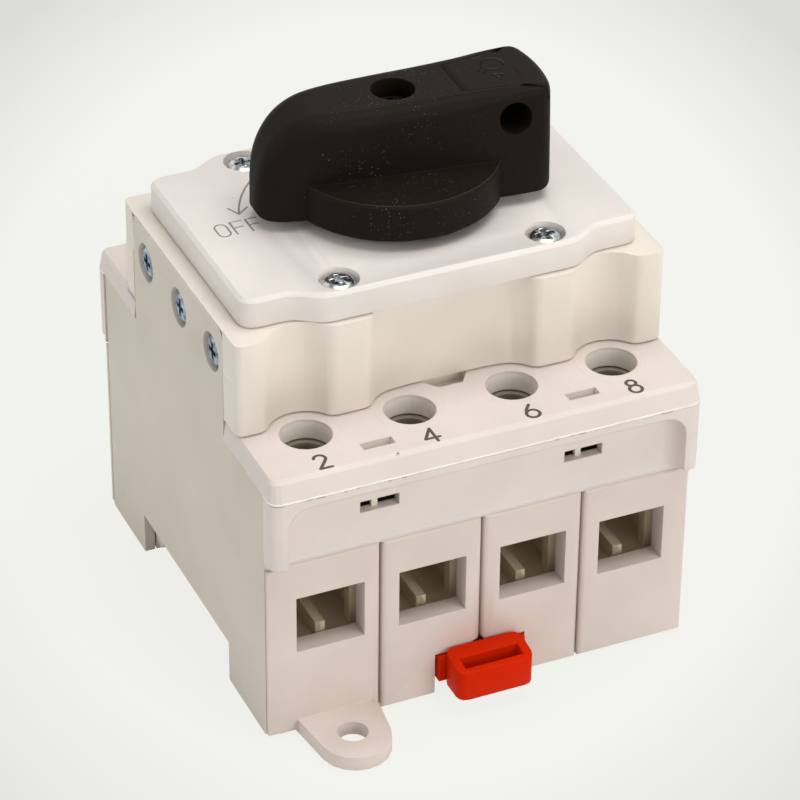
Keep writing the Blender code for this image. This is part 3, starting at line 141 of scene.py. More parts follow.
# %% Wrap sockets for shader formulas
class Term:
    """One value of a shader formula."""

    def __init__(self, formulas, socket):
        self.formulas = formulas
        self.socket = socket

    def _math(self, operation, *values, clamp=False):
        return self.formulas.node("ShaderNodeMath", {"operation": operation, "use_clamp": clamp}, *values)

    def __add__(self, other):
        return self._math("ADD", self, other)

    __radd__ = __add__

    def __mul__(self, other):
        return self._math("MULTIPLY", self, other)

    __rmul__ = __mul__

    def __sub__(self, other):
        return self._math("SUBTRACT", self, other)

    def __rsub__(self, other):
        return self._math("SUBTRACT", other, self)

    def __gt__(self, other):
        return self._math("GREATER_THAN", self, other)

    def __lt__(self, other):
        return self._math("LESS_THAN", self, other)

    def __abs__(self):
        return self._math("ABSOLUTE", self)

    def clamped(self):
        return self._math("ADD", self, 0.0, clamp=True)


class Formulas:
    """Writes nodes into one tree."""

    def __init__(self, tree):
        self.tree = tree

    def node(self, kind, settings, *values, output=None, **named):
        made = self.tree.nodes.new(kind)
        for key, value in settings.items():
            setattr(made, key, value)
        pairs = list(zip(made.inputs, values))
        pairs += [(made.inputs[key.replace("_", " ")], value) for key, value in named.items()]
        for socket, value in pairs:
            if isinstance(value, Term):
                self.tree.links.new(value.socket, socket)
            elif value is not None:
                socket.default_value = value
        return Term(self, made.outputs[output or 0])


print("a formula knows these signs: + - * < > abs")

# %% Describe a finish
class Finish(Formulas):
    """A material with its node tree, and the shader that everything feeds."""

    def __init__(self, name, colour, roughness, metallic=0.0, shine=0.5):
        self.material = bpy.data.materials.new(name)
        self.material.use_nodes = True
        super().__init__(self.material.node_tree)
        self.shader = self.tree.nodes["Principled BSDF"]
        self.shader.inputs["Base Color"].default_value = (*colour, 1.0)
        levels = {"Roughness": roughness, "Metallic": metallic, "Specular IOR Level": shine}
        for socket, value in levels.items():
            self.shader.inputs[socket].default_value = value
        self.place = self.node("ShaderNodeTexCoord", {}, output="Object")

    def noise(self, size, detail=2.0, stretch=(1.0, 1.0, 1.0)):
        """Soft noise whose lumps are about size across, in metres."""
        place = self.node("ShaderNodeMapping", {}, Vector=self.place, Scale=stretch)
        return self.node("ShaderNodeTexNoise", {}, Vector=place, Scale=1.0 / size, Detail=detail)

    def mix(self, factor, first, second):
        """A colour between two colours."""
        tones = [tone if isinstance(tone, Term) else (*tone, 1.0) for tone in (first, second)]
        return self.node("ShaderNodeMix", {"data_type": "RGBA"}, factor, *[None] * 5, *tones, output=2)

    def feed(self, socket, term):
        self.tree.links.new(term.socket, self.shader.inputs[socket])

    def along(self, axis):
        """The place along X, Y or Z, in metres."""
        return self.node("ShaderNodeSeparateXYZ", {}, self.place, output=axis)

    def dots(self, spacing, reach, share, seed):
        """Small round dots, about spacing apart, of which only a share is kept."""
        place = self.node("ShaderNodeVectorMath", {"operation": "ADD"}, self.place, (seed, seed, seed))
        cells = self.node("ShaderNodeTexVoronoi", {}, Vector=place, Scale=1.0 / spacing)
        pick = self.node("ShaderNodeSeparateColor", {}, Term(self, cells.socket.node.outputs["Color"]))
        return (cells < reach / spacing) * (pick < share)

    def bump(self, height, strength, distance, round_edge=None):
        soft = self.node("ShaderNodeBevel", {"samples": 6}, Radius=round_edge) if round_edge else None
        sizes = {"Strength": strength, "Distance": distance}
        self.feed("Normal", self.node("ShaderNodeBump", {}, Height=height, Normal=soft, **sizes))


def colour(red, green, blue):
    """A colour given as it is seen on a screen, from 0 to 255, as the shader wants it."""
    values = [v / 255.0 for v in (red, green, blue)]
    return tuple(v / 12.92 if v <= 0.04045 else ((v + 0.055) / 1.055) ** 2.4 for v in values)


print("a mid grey is", round(colour(128, 128, 128)[0], 3), "to the shader")

# %% [markdown]
# ## Moulded plastic
#
# The housings are glass-filled nylon in a warm off-white. Such a moulding is never one flat colour: it
# has faint clouds where the melt flowed, a fine spark-eroded grain that breaks up the gloss, and dust
# that has settled on it. One function makes all of these finishes, and each caller gives its own colour,
# gloss and grain.

# %% Make the moulded plastics
def moulded(name, base, roughness, cloud=0.03, grain=0.12, round_edge=None, shine=0.5):
    """Plastic with clouds of lighter and darker colour and a fine grain."""
    finish = Finish(name, base, roughness, shine=shine)
    clouds = finish.noise(0.011, 3.0)
    fine = finish.noise(0.00035, 2.0)
    dark = tuple(v * (1.0 - cloud * 2.5) for v in base)
    bright = tuple(min(1.0, v * (1.0 + cloud)) for v in base)
    finish.tint = finish.mix((clouds * 1.6 - 0.3).clamped(), dark, bright)
    finish.feed("Base Color", finish.tint)
    finish.feed("Roughness", roughness - 0.06 + fine * 0.08 + clouds * 0.05)
    finish.bump(fine, grain, 0.00003, round_edge)
    return finish


def speckled(finish, mask, speck):
    """Lays specks of another colour over a finish."""
    finish.tint = finish.mix(mask, finish.tint, speck)
    finish.feed("Base Color", finish.tint)


housing_cream = moulded("housing_cream", colour(232, 223, 211), 0.44)
plate_cream = moulded("plate_cream", colour(232, 224, 218), 0.42)
side_cream = moulded("side_cream", colour(215, 204, 191), 0.5)
clip_red = moulded("clip_red", colour(208, 37, 0), 0.42, cloud=0.05, grain=0.15, shine=0.04)
inner_grey = moulded("inner_grey", colour(150, 146, 134), 0.5)
worn_black = moulded("worn_black", colour(66, 60, 53), 0.6, cloud=0.3, shine=0.1)
pale_flash = moulded("pale_flash", colour(246, 240, 232), 0.5)
faint_mark = moulded("faint_mark", colour(228, 219, 210), 0.5)
print("plastics:", len([m for m in bpy.data.materials if "_" in m.name]))

# %% [markdown]
# ## Where the mouldings show their making
#
# Three mouldings need more than clouds. The terminal cover came from a tool whose halves met 3.6 mm below
# the deck: a ragged pale line of flash runs there, with a painted shadow under its lip and darker bits of
# dirt and shade along it. The pole housings are painted olive inside, as light that enters a deep pocket
# loses its blue at each bounce, and painted darker under their roofs and low by their walls, as shade. The
# black handle has been held and has collected pale dust. All of these are masks on object coordinates, so
# they stay put when the view turns.

# %% Make the cover's plastic
PARTING_DOWN = 0.0036
HOLES_REACH = 0.0327
SKIN = 0.0008
parting = deck_top - PARTING_DOWN
cover_cream = moulded("cover_cream", colour(224, 213, 206), 0.42, round_edge=0.00035)
ragged = cover_cream.noise(0.0012, 4.0) * 0.00022 - 0.00011
from_parting = cover_cream.along("Z") + ragged - parting
flash_line = (abs(from_parting) < 0.00014) * (cover_cream.noise(0.003, 1.0) * 1.8).clamped()
# Painted shadow: a thin darker band under the flash's lip, with darker bits of dirt and shade along it.
painted_shade_under_flash = (from_parting < -0.00014) * (from_parting > -0.0003)
shade_and_dirt_band = (from_parting < -0.00012) * (from_parting > -0.0004) * (cover_cream.noise(0.0016, 4.0) > 0.575)
speckled(cover_cream, painted_shade_under_flash * 0.35, colour(176, 164, 150))
speckled(cover_cream, shade_and_dirt_band * 0.5, colour(112, 102, 88))
speckled(cover_cream, flash_line, colour(252, 248, 242))
speckled(cover_cream, cover_cream.dots(0.006, 0.00011, 0.12, 1.0) * 0.5, colour(150, 140, 130))
in_hole = (cover_cream.along("Z") < deck_top - 0.0004) * (abs(cover_cream.along("Y")) < HOLES_REACH)
in_hole = in_hole * (abs(cover_cream.along("X")) < abs(side_face) - SKIN)
speckled(cover_cream, in_hole * 0.7, colour(242, 236, 222))
print("parting line at", round(parting, 4))

# %% Make the poles' plastic
WALL = 0.0035
POCKET_FLOOR, RIB_TOP, POCKET_ROOF = 0.0136, 0.0215, 0.0405
RIB_FRONT = 0.031
pole_cream = moulded("pole_cream", colour(217, 203, 194), 0.45)
# Painted light and shade: the pockets are tinted olive as bounced light, and darker under the roof and low by
# the front and rear walls as shade.
inside = (abs(pole_cream.along("Y")) < abs(front_face) - WALL) * (pole_cream.along("Z") > POCKET_FLOOR)
inside = inside * (abs(pole_cream.along("X")) < abs(side_face) - SKIN)
speckled(pole_cream, inside * 0.72, colour(198, 181, 142))
speckled(pole_cream, inside * (pole_cream.along("Z") > POCKET_ROOF) * 0.85, colour(120, 116, 100))
shaded_low_part = (pole_cream.along("Z") < RIB_TOP) * (abs(pole_cream.along("Y")) > RIB_FRONT)
speckled(pole_cream, inside * shaded_low_part * 0.5, colour(128, 118, 94))
speckled(pole_cream, pole_cream.dots(0.007, 0.00010, 0.1, 3.0) * 0.45, colour(150, 138, 126))
print("olive inside, above z", POCKET_FLOOR)

# %% Make the handle's plastic
handle_black = moulded("handle_black", colour(28, 23, 17), 0.5, 0.08, 0.4, 0.0003, shine=0.06)
held = (1.3 - abs(handle_black.along("X")) * 80.0).clamped()
dusty = (handle_black.noise(0.006, 2.0) * 4.0 - 1.7).clamped() * held
dust = handle_black.dots(0.0005, 0.00009, 0.5, 5.0) * dusty + handle_black.dots(0.0035, 0.0001, 0.4, 7.0)
speckled(handle_black, dust.clamped() * 0.5, colour(150, 142, 130))
print("finishes so far:", len(bpy.data.materials))

# %% [markdown]
# ## Metals
#
# The screws are zinc plated, bright and slightly blue, with the fine turning marks of a cold-formed
# head. The contacts are copper alloy, warm and a little dull. Metals take their look from what they
# reflect, so worn patches and a changing roughness say more than their colour. Hardly any light reaches
# the screw deep in the grip, so a plain dark finish stands for its steel.

# %% Make the metals
def metal(name, base, roughness, worn=0.78, patch=0.002):
    """Streaked metal, darker by the factor worn in patches of a size in metres."""
    finish = Finish(name, base, roughness, 1.0)
    streaks = finish.noise(0.0006, 3.0, (1.0, 1.0, 6.0))
    clouds = finish.noise(patch, 2.0)
    dull = tuple(v * worn for v in base)
    finish.feed("Base Color", finish.mix((clouds * 3.0 - 1.0).clamped(), dull, base))
    finish.feed("Roughness", roughness - 0.05 + streaks * 0.1)
    finish.bump(streaks, 0.15, 0.00002)
    return finish


zinc = metal("bright_zinc", colour(226, 229, 232), 0.24, worn=0.3, patch=0.0011)
blue_zinc = metal("blue_zinc", colour(176, 194, 216), 0.28, worn=0.22, patch=0.0011)
dull_zinc = metal("dull_zinc", colour(170, 172, 172), 0.4)
terminal_zinc = metal("terminal_zinc", colour(122, 120, 106), 0.45)
shaded_steel = moulded("shaded_steel", colour(15, 14, 13), 0.7, shine=0.05)
copper = metal("contact_copper", colour(214, 150, 110), 0.34)
spring_wire = metal("spring_wire", colour(170, 172, 176), 0.3)
print("metals:", [m.name for m in bpy.data.materials if "zinc" in m.name or "copper" in m.name])

# %% [markdown]
# ## Print
#
# The numbers and the words OFF and ON are pad printed in a grey that has sunk slightly into the plastic,
# so the ink is thin in places.

# %% Make the ink
def ink(name, base, thin):
    """Ink of a base colour that shows another where it is thin."""
    finish = Finish(name, base, 0.55)
    worn = finish.noise(0.0005, 3.0)
    finish.feed("Base Color", finish.mix((worn * 1.2 - 0.35).clamped(), base, thin))
    finish.bump(worn, 0.1, 0.00001)
    return finish


number_ink = ink("number_ink", colour(66, 60, 57), colour(100, 92, 87))
plate_ink = ink("plate_ink", colour(128, 118, 114), colour(170, 160, 154))
print("inks: numbers and plate")

# %% [markdown]
# ## Soft edges on the frame's mouldings
#
# A real moulding has no sharp outer edge: the tool is polished to a small radius, and that radius is
# what catches the light in the photograph. Most of the frame's solids already have the right shape, so
# they stay. Those that show get a chain of modifiers: Weld joins the loose triangles, Decimate makes flat
# faces whole, and Bevel rounds the edges by a width of their own. The others get their finish only.

# %% Soften and dress the nodes
def soften(name, width):
    node = nodes[name]
    node.data.shade_smooth()
    weld = node.modifiers.new("join_triangles", "WELD")
    weld.merge_threshold = 0.000002
    flat = node.modifiers.new("whole_faces", "DECIMATE")
    flat.decimate_type = "DISSOLVE"
    flat.angle_limit = math.radians(0.6)
    bevel = node.modifiers.new("soft_edges", "BEVEL")
    bevel.width = width
    bevel.segments = 2
    bevel.limit_method = "ANGLE"
    bevel.angle_limit = math.radians(38.0)
    bevel.harden_normals = True


def dress(prefix, finish, width):
    """Gives a finish to a node, or to all that carry its name and a number."""
    dressed = [name for name in nodes if name == prefix or name.startswith(prefix + "_")]
    for name in dressed:
        for slot in nodes[name].material_slots:
            slot.material = finish.material
        if width:
            soften(name, width)
    return dressed


DRESS = {
    "pole_housing": (pole_cream, 0.0003),
    "side_plate": (side_cream, 0.0003),
    "terminal_cover": (cover_cream, None),
    "mechanism_housing": (housing_cream, 0.00025),
    "top_plate": (plate_cream, 0.0004),
    "handle": (handle_black, None),
    "lock_latch": (handle_black, None),
    "rail_clip": (clip_red, 0.0004),
    "cam_spindle": (inner_grey, None),
    "contact_carrier": (inner_grey, None),
    "plate_screw": (zinc, 0.00015),
    "side_screw": (blue_zinc, 0.00015),
    "handle_screw": (shaded_steel, None),
    "terminal_screw": (terminal_zinc, 0.00015),
    "terminal_clamp": (dull_zinc, None),
    "fixed_contact": (copper, None),
    "moving_contact": (copper, None),
    "carrier_spring": (spring_wire, None),
}
dressed = [name for prefix, (finish, width) in DRESS.items() for name in dress(prefix, finish, width)]
print("dressed:", len(set(dressed)), "of", len(nodes))

# %% [markdown]
# ## Placing finished pieces
#
# A finished piece's object sits at the origin, with its place in its mesh, as a frame node's does.
# `finished` takes a bmesh in millimetres, scales it and lets it ride with a body. Marks and print are
# drawn as pen strokes: flat beads with round ends along a line.

# %% Helpers that finish a piece
def as_mesh(shape, name, scale=1.0):
    """A bmesh becomes a mesh and is freed."""
    mesh = bpy.data.meshes.new(name)
    shape.to_mesh(mesh)
    shape.free()
    mesh.transform(Matrix.Scale(scale, 4))
    return mesh


def as_piece(name, mesh, finish, body, smooth):
    """A mesh becomes a piece that rides with a body, shaded smooth up to an angle."""
    mesh.name = name
    mesh.materials.clear()
    mesh.materials.append(finish.material)
    mesh.shade_smooth()
    mesh.set_sharp_from_angle(angle=math.radians(smooth))
    piece = linked(name, mesh)
    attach(piece, body)
    return piece


def finished(name, shape, finish, body, smooth=40.0):
    """A bmesh in millimetres becomes a piece of the switch."""
    return as_piece(name, as_mesh(shape, name, MM), finish, body, smooth)


print("helpers: as_mesh, as_piece, finished")

# %% Helpers that draw
def skin(shape, loops, capped=True):
    """Faces from each ring of points to the next, and over both ends if capped."""
    for lower, upper in zip(loops, loops[1:]):
        for i in range(len(lower)):
            k = (i + 1) % len(lower)
            shape.faces.new((lower[i], lower[k], upper[k], upper[i]))
    if capped:
        shape.faces.new(loops[0])
        shape.faces.new(loops[-1])


def arc(centre, radius, start, end, steps):
    """Points along an arc, with its angles in degrees."""
    angles = [math.radians(start + (end - start) * i / steps) for i in range(steps + 1)]
    return [(centre[0] + radius * math.cos(a), centre[1] + radius * math.sin(a)) for a in angles]


STROKE_SIDES = 8


def strokes(lines, width, height=0.05, rise=0.0):
    """Round pen strokes along lines in a plane, in millimetres, as flat closed beads."""
    shape = bmesh.new()
    for points in lines:
        points = [Vector((*p, 0.0)) for p in points]
        rings = []
        for i, point in enumerate(points):
            before, after = points[max(i - 1, 0)], points[min(i + 1, len(points) - 1)]
            along = (after - before).normalized()
            side = Vector((-along.y, along.x, 0.0))
            turn = 1.0
            if 0 < i < len(points) - 1:
                bend = (point - before).normalized().dot((after - point).normalized())
                turn = 1.0 / max(0.5, math.sqrt(max(0.0, (1.0 + bend) / 2.0)))
            rings.append((point, along, side * turn))
        first, last = rings[0], rings[-1]
        cap = [(width / 2, 0.25), (width / 2 * 0.7, 0.7)]
        rows = [(first[0] - first[1] * out, first[2], share) for out, share in cap]
        rows += [(p, s, 1.0) for p, _, s in rings]
        rows += [(last[0] + last[1] * out, last[2], share) for out, share in reversed(cap)]
        loops = []
        for point, side, share in rows:
            loop = []
            for j in range(STROKE_SIDES):
                angle = math.tau * j / STROKE_SIDES
                offset = side * (math.cos(angle) * width / 2 * share)
                above = Vector((0.0, 0.0, rise + math.sin(angle) * height / 2))
                loop.append(shape.verts.new(point + offset + above))
            loops.append(loop)
        skin(shape, loops)
    bmesh.ops.recalc_face_normals(shape, faces=shape.faces)
    return shape


def drawn(name, lines, width, height, level, finish, body="frame"):
    """Pen strokes on a level face become a piece."""
    finished(name, strokes(lines, width, height, level / MM), finish, body)


print("helpers: skin, arc, strokes, drawn")

# %% [markdown]
# ## Solids carved from solids
#
# Three mouldings are made anew here, because the photograph shows more of them than the frame has. A
# closed mesh is cut with other closed meshes, as a tool steel would shape the melt: the helpers make
# outlines into slabs and profiles into turned solids, and `carved` runs the cuts and keeps a plain mesh.

# %% Helpers that make solids
def slab(outline, low, high):
    """A level plate with that outline, as a closed bmesh in millimetres."""
    shape = bmesh.new()
    feet = [shape.verts.new((x, y, low)) for x, y in outline]
    heads = [shape.verts.new((x, y, high)) for x, y in outline]
    shape.faces.new(feet)
    shape.faces.new(heads)
    skin(shape, [feet, heads], capped=False)
    bmesh.ops.recalc_face_normals(shape, faces=shape.faces)
    return shape


def box(low, high):
    """An upright block between two corners."""
    outline = [(low[0], low[1]), (high[0], low[1]), (high[0], high[1]), (low[0], high[1])]
    return slab(outline, low[2], high[2])


def spun(profile, steps=96):
    """A solid turned about Z from rows of radius and height."""
    shape = bmesh.new()
    loops = []
    for radius, z in profile:
        loops.append([shape.verts.new((*p, z)) for p in arc((0.0, 0.0), radius, 0, 360, steps)[:-1]])
    skin(shape, loops)
    bmesh.ops.recalc_face_normals(shape, faces=shape.faces)
    return shape


print("helpers: slab, box, spun")

# %% Helpers that carve
def blank(shape, scale=MM):
    """A temporary object that holds a solid while it is carved."""
    return linked("blank", as_mesh(shape, "blank", scale))


def evaluated(piece):
    """The plain mesh that an object's modifiers make."""
    graph = bpy.context.evaluated_depsgraph_get()
    return bpy.data.meshes.new_from_object(piece.evaluated_get(graph), depsgraph=graph)


def carved(base, steps):
    """Works each (operation, bmesh) into the base in turn and returns the plain mesh."""
    used = [base]
    for operation, shape in steps:
        used.append(blank(shape))
        modifier = base.modifiers.new("carve", "BOOLEAN")
        modifier.operation = operation
        modifier.solver = "EXACT"
        modifier.object = used[-1]
    made = evaluated(base)
    for solid in used:
        bpy.data.objects.remove(solid)
    return made


def from_node(name):
    """The joined triangles of a frame node, in metres."""
    shape = bmesh.new()
    shape.from_mesh(nodes[name].data)
    bmesh.ops.remove_doubles(shape, verts=shape.verts, dist=0.000002)
    return shape


def kept(name, mesh, finish, body, node, smooth=35.0, flat=False):
    """A carved mesh becomes the piece that stands for a frame node.

    If flat, only its upright round walls are shaded smooth.
    """
    piece = as_piece(name, mesh, finish, body, smooth)
    if flat:
        for face in mesh.polygons:
            slant = max(abs(face.normal.x), abs(face.normal.y))
            face.use_smooth = abs(face.normal.z) < 0.2 and slant < 0.99
    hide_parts(node)
    print(name, "faces:", len(mesh.polygons))
    return piece


print("helpers: blank, evaluated, carved, from_node, kept")

# %% [markdown]
# ## The handle's grip
#
# The grip is a bar that grows from a rounded nose to a blunt tail. It is built from cross-sections: each
# has a foot width, a narrower crown and a corner radius. The nose falls in a superellipse, which is fuller
# than a quarter circle, and the tail is an arc about the axis with rounded corners. The switch was
# photographed with its handle a little past the OFF stop, so the grip is turned by that play.

# %% Write down the grip's sizes
PLAY = math.radians(-2.4)
LOW, HIGH = handle_low.z / MM, handle_high.z / MM
NOSE, NOSE_MIDDLE, NOSE_RISE, NOSE_POWER = -23.16, -12.0, 2.1, 2.48
TAIL, TAIL_CORNER, TAIL_EDGE = 24.6, 2.1, 1.5
FOOT_EDGE, FOOT_AT_TAIL, FOOT_AT_NOSE = 0.5, 0.9, 1.3
COLUMNS = 12
# Each row is a place along the grip, half the width of its foot, how much less the crown is, and the
# radius between side and crown.
GRIP = (
    (-23.16, 0.9, 0.1, 0.6),
    (-22.8, 2.2, 0.15, 1.3),
    (-21.9, 3.5, 0.2, 2.1),
    (-20.2, 4.6, 0.2, 2.8),
    (-17.0, 5.5, 0.1, 2.9),
    (-10.0, 6.6, 0.1, 2.3),
    (-2.0, 7.4, 0.4, 2.3),
    (6.0, 8.4, 1.2, 2.3),
    (13.0, 9.3, 1.9, 2.0),
    (20.0, 9.8, 2.0, 1.6),
    (24.6, 9.9, 2.0, 1.5),
)
print("grip:", round(TAIL - NOSE, 1), "mm long and", round(HIGH - LOW, 1), "mm high")

# %% Work out a cross-section
def eased(x):
    """The grip's values at x, on a smooth curve through the table."""
    last = len(GRIP) - 1
    i = max(0, min(last - 1, sum(row[0] <= x for row in GRIP) - 1))
    before, first, second, after = GRIP[max(i - 1, 0)], GRIP[i], GRIP[i + 1], GRIP[min(i + 2, last)]
    span = second[0] - first[0]
    t = (x - first[0]) / span
    values = []
    for c in (1, 2, 3):
        slope = (second[c] - before[c]) / (second[0] - before[0]) * span
        leave = (after[c] - first[c]) / (after[0] - first[0]) * span
        values.append(
            first[c] * (2 * t**3 - 3 * t**2 + 1)
            + slope * (t**3 - 2 * t**2 + t)
            + second[c] * (3 * t**2 - 2 * t**3)
            + leave * (t**3 - t**2)
        )
    return values


def lift(distance, radius):
    """How far a rounded edge of that radius stands back, at a distance from its end."""
    near = 1.0 - min(max(distance, 0.0) / radius, 1.0)
    return radius * (1.0 - math.sqrt(1.0 - near * near))


def ramp(x, start, end):
    """From 0 at the start to 1 at the end, and level outside them."""
    return min(max((x - start) / (end - start), 0.0), 1.0)


def turned(x, y):
    """A place in the grip's own plan, turned by the play."""
    return x * math.cos(PLAY) - y * math.sin(PLAY), x * math.sin(PLAY) + y * math.cos(PLAY)


def placed_on_grip(rho, y, z):
    """Sections near the tail are bent into arcs about the axis, and all are turned by the play."""
    bend = rho - math.sqrt(max(rho * rho - y * y, 0.0))
    return (*turned(rho - bend * ramp(rho, 12.0, 18.0) * ramp(rho, 6.0, 18.0), y), z)


def grip_section(rho, top):
    """The right side's points from the foot to the crown."""
    foot, less, radius = eased(rho)
    foot -= lift(TAIL - rho, TAIL_CORNER)
    top -= lift(TAIL - rho, TAIL_EDGE)
    low = LOW + lift(TAIL - rho, FOOT_AT_TAIL) + lift(rho - NOSE, FOOT_AT_NOSE)
    crown = foot - less
    radius = min(radius, crown - 0.3, (top - low) * 0.45)
    edge = min(FOOT_EDGE, (top - low) * 0.3)
    points = [(foot - edge, low), (foot - edge * 0.3, low + edge * 0.3), (foot, low + edge)]
    for share in (0.05, 0.5, 0.95):
        z = low + edge + (top - radius - low - edge) * share
        points.append((foot - less * share, z))
    points += arc((crown - radius, top - radius), radius, 0, 90, 8)
    points.append((max(crown - radius - 0.25, 0.2), top))
    return points


print("half a section in the middle:", len(grip_section(0.0, HIGH)), "points")

# %% Skin the grip
def stations():
    """Places along the grip, each with the height of its crown."""
    nose = []
    for i in range(20):
        angle = math.radians(90.0 * i / 20)
        x = NOSE_MIDDLE - (NOSE_MIDDLE - NOSE) * math.cos(angle) ** (2 / NOSE_POWER)
        nose.append((x, LOW + NOSE_RISE + (HIGH - LOW - NOSE_RISE) * math.sin(angle) ** (2 / NOSE_POWER)))
    straight = TAIL - TAIL_CORNER
    bar = [NOSE_MIDDLE + (straight - NOSE_MIDDLE) * i / 24 for i in range(25)]
    tail = [straight + TAIL_CORNER * math.sin(math.radians(90.0 * i / 8)) for i in range(1, 9)]
    return nose + [(x, HIGH) for x in bar + tail]


def between(y, z):
    """Even places from one side of the grip to the other, without the ends."""
    return [(y * (1.0 - 2.0 * c / COLUMNS), z) for c in range(1, COLUMNS)]


def grip_shape():
    shape = bmesh.new()

    def put(rho, points):
        return [shape.verts.new(placed_on_grip(rho, y, z)) for y, z in points]

    loops, parts = [], []
    for rho, top in stations():
        half = grip_section(rho, top)
        right_side, left_side = put(rho, half), put(rho, [(-y, z) for y, z in half])
        crown, foot = put(rho, between(*half[-1])), put(rho, between(*half[0]))
        loops.append(right_side + crown + left_side[::-1] + foot[::-1])
        parts.append((rho, half, right_side, left_side, crown, foot))
    skin(shape, loops, capped=False)
    for rho, half, right_side, left_side, crown, foot in (parts[0], parts[-1]):
        rows = [[right_side[0], *foot, left_side[0]]]
        for j in range(1, len(half) - 1):
            rows.append([right_side[j], *put(rho, between(*half[j])), left_side[j]])
        rows.append([right_side[-1], *crown, left_side[-1]])
        for lower, upper in zip(rows, rows[1:]):
            for c in range(COLUMNS):
                shape.faces.new((lower[c], lower[c + 1], upper[c + 1], upper[c]))
    bmesh.ops.recalc_face_normals(shape, faces=shape.faces)
    return shape


trial = grip_shape()
print("grip closed:", all(e.is_manifold for e in trial.edges), "volume mm3:", round(trial.calc_volume()))
trial.free()

# %% [markdown]
# ## Cutting the handle and its lock slide
#
# The disc joins the grip, and then the same openings as in the frame are cut: the bore for the screw, the
# square socket for the spindle, the slot and pocket of the lock slide, and the padlock hole. The slide's
# plate is the part of the grip that lies inside the pocket's outline, so it follows the tail's rounding.

# %% Carve the handle
DISC_RADIUS, DISC_EDGE = 17.3, 0.4
PADLOCK_RADIUS, PADLOCK_PLACE = 2.6, (16.9, 0.0, 85.6)
LATCH_FLOOR = 87.8
latch_half = [(9.75, 4.4), (16.4, 5.35), (18.6, 5.9), (19.7, 5.45), (21.2, 6.5), (22.4, 7.1), (26.0, 8.4)]
pocket_half = [(9.63, 4.5), (16.4, 5.44), (18.6, 6.0), (26.0, 8.55)]


def turned_outline(half):
    """Half an outline with its mirror image, turned with the grip."""
    return [turned(x, y) for x, y in half + [(x, -y) for x, y in reversed(half)]]


disc_head = disc_top / MM
disc_rows = [
    (DISC_RADIUS - DISC_EDGE, LOW),
    (DISC_RADIUS, LOW + DISC_EDGE),
    (DISC_RADIUS, disc_head - DISC_EDGE),
    (DISC_RADIUS - DISC_EDGE, disc_head),
]
padlock_hole = spun([(PADLOCK_RADIUS, -12.0), (PADLOCK_RADIUS, 12.0)], 48)
crosswise = Matrix.Translation(PADLOCK_PLACE) @ Matrix.Rotation(math.pi / 2, 4, "X")
bmesh.ops.transform(padlock_hole, matrix=crosswise, verts=padlock_hole.verts)
screw_head = spun([(3.5, 85.0), (3.5, 91.0)], 48)
screw_shank = spun([(2.35, 82.0), (2.35, 85.5)], 32)
spindle_square = box((-3.65, -3.65, 72.0), (3.65, 3.65, 82.6))
slide_pocket = slab(turned_outline(pocket_half), 87.5, 91.0)
slide_slot = box((9.6, -2.9, 72.0), (22.6, 2.9, 88.0))
holes = (screw_head, screw_shank, spindle_square, slide_pocket, slide_slot, padlock_hole)
steps = [("UNION", spun(disc_rows)), *(("DIFFERENCE", hole) for hole in holes)]
kept("grip_and_disc", carved(blank(grip_shape()), steps), handle_black, "knob", "handle")

# %% Carve the lock slide
plate_block = slab(turned_outline(latch_half), LATCH_FLOOR, 91.0)
plate = carved(blank(grip_shape()), [("INTERSECT", plate_block)])
slide = from_node("lock_latch")
cut_level = Vector((0.0, 0.0, (LATCH_FLOOR + 0.01) * MM))
everything = slide.verts[:] + slide.edges[:] + slide.faces[:]
bmesh.ops.bisect_plane(slide, geom=everything, plane_co=cut_level, plane_no=(0.0, 0.0, 1.0), clear_outer=True)
bmesh.ops.holes_fill(slide, edges=[e for e in slide.edges if e.is_boundary])
slide.from_mesh(plate)
kept("slide_with_sign", as_mesh(slide, "slide"), handle_black, "lock", "lock_latch")

# %% [markdown]
# ## The springs
#
# Two coil springs lift the contact carrier. When the handle turns to ON, the carrier comes down on them.
# Each spring is kept as a piece with a mesh of its own that rides with the frame.

# %% Keep the springs as pieces of their own
for number in (1, 2):
    coil = as_mesh(from_node(f"carrier_spring_{number}"), "coil")
    spring = kept(f"lifting_spring_{number}", coil, spring_wire, "frame", f"carrier_spring_{number}", 60.0)
    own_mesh(spring)

# %% [markdown]
# ## The cover's snap windows
#
# The terminal cover is held by catches that show through two small windows in each long side. In the
# photograph they sit lower and further right than in the frame, so the frame's windows are filled and cut
# again where they are seen. Behind each lies a light catch between two slots, whose shade is painted as
# dark sheets behind the window. Under the panel's foot a thin strip closes the joint with the poles.

# %% Carve the cover and put the catches behind its windows
OLD_WINDOWS, OLD_Z = (-18.6, 15.9), (41.1, 43.4)
NEW_WINDOWS, NEW_Z = (-17.25, 17.25), (38.8, 40.8)
BEHIND_Z = (NEW_Z[0] - 0.02, NEW_Z[1] + 0.1)


def add_pair(shape, centre, x, y, z):
    """A box on the front wall, whose x is counted from a centre, and its mirror image on the rear."""
    for near, far in (y, (-y[1], -y[0])):
        low, high = (centre + x[0], near, z[0]), (centre + x[1], far, z[1])
        size = [b - a for a, b in zip(low, high)]
        middle_of_box = Vector([(a + b) / 2 for a, b in zip(low, high)])
        for v in bmesh.ops.create_cube(shape, size=1.0)["verts"]:
            v.co = Vector([c * s for c, s in zip(v.co, size)]) + middle_of_box


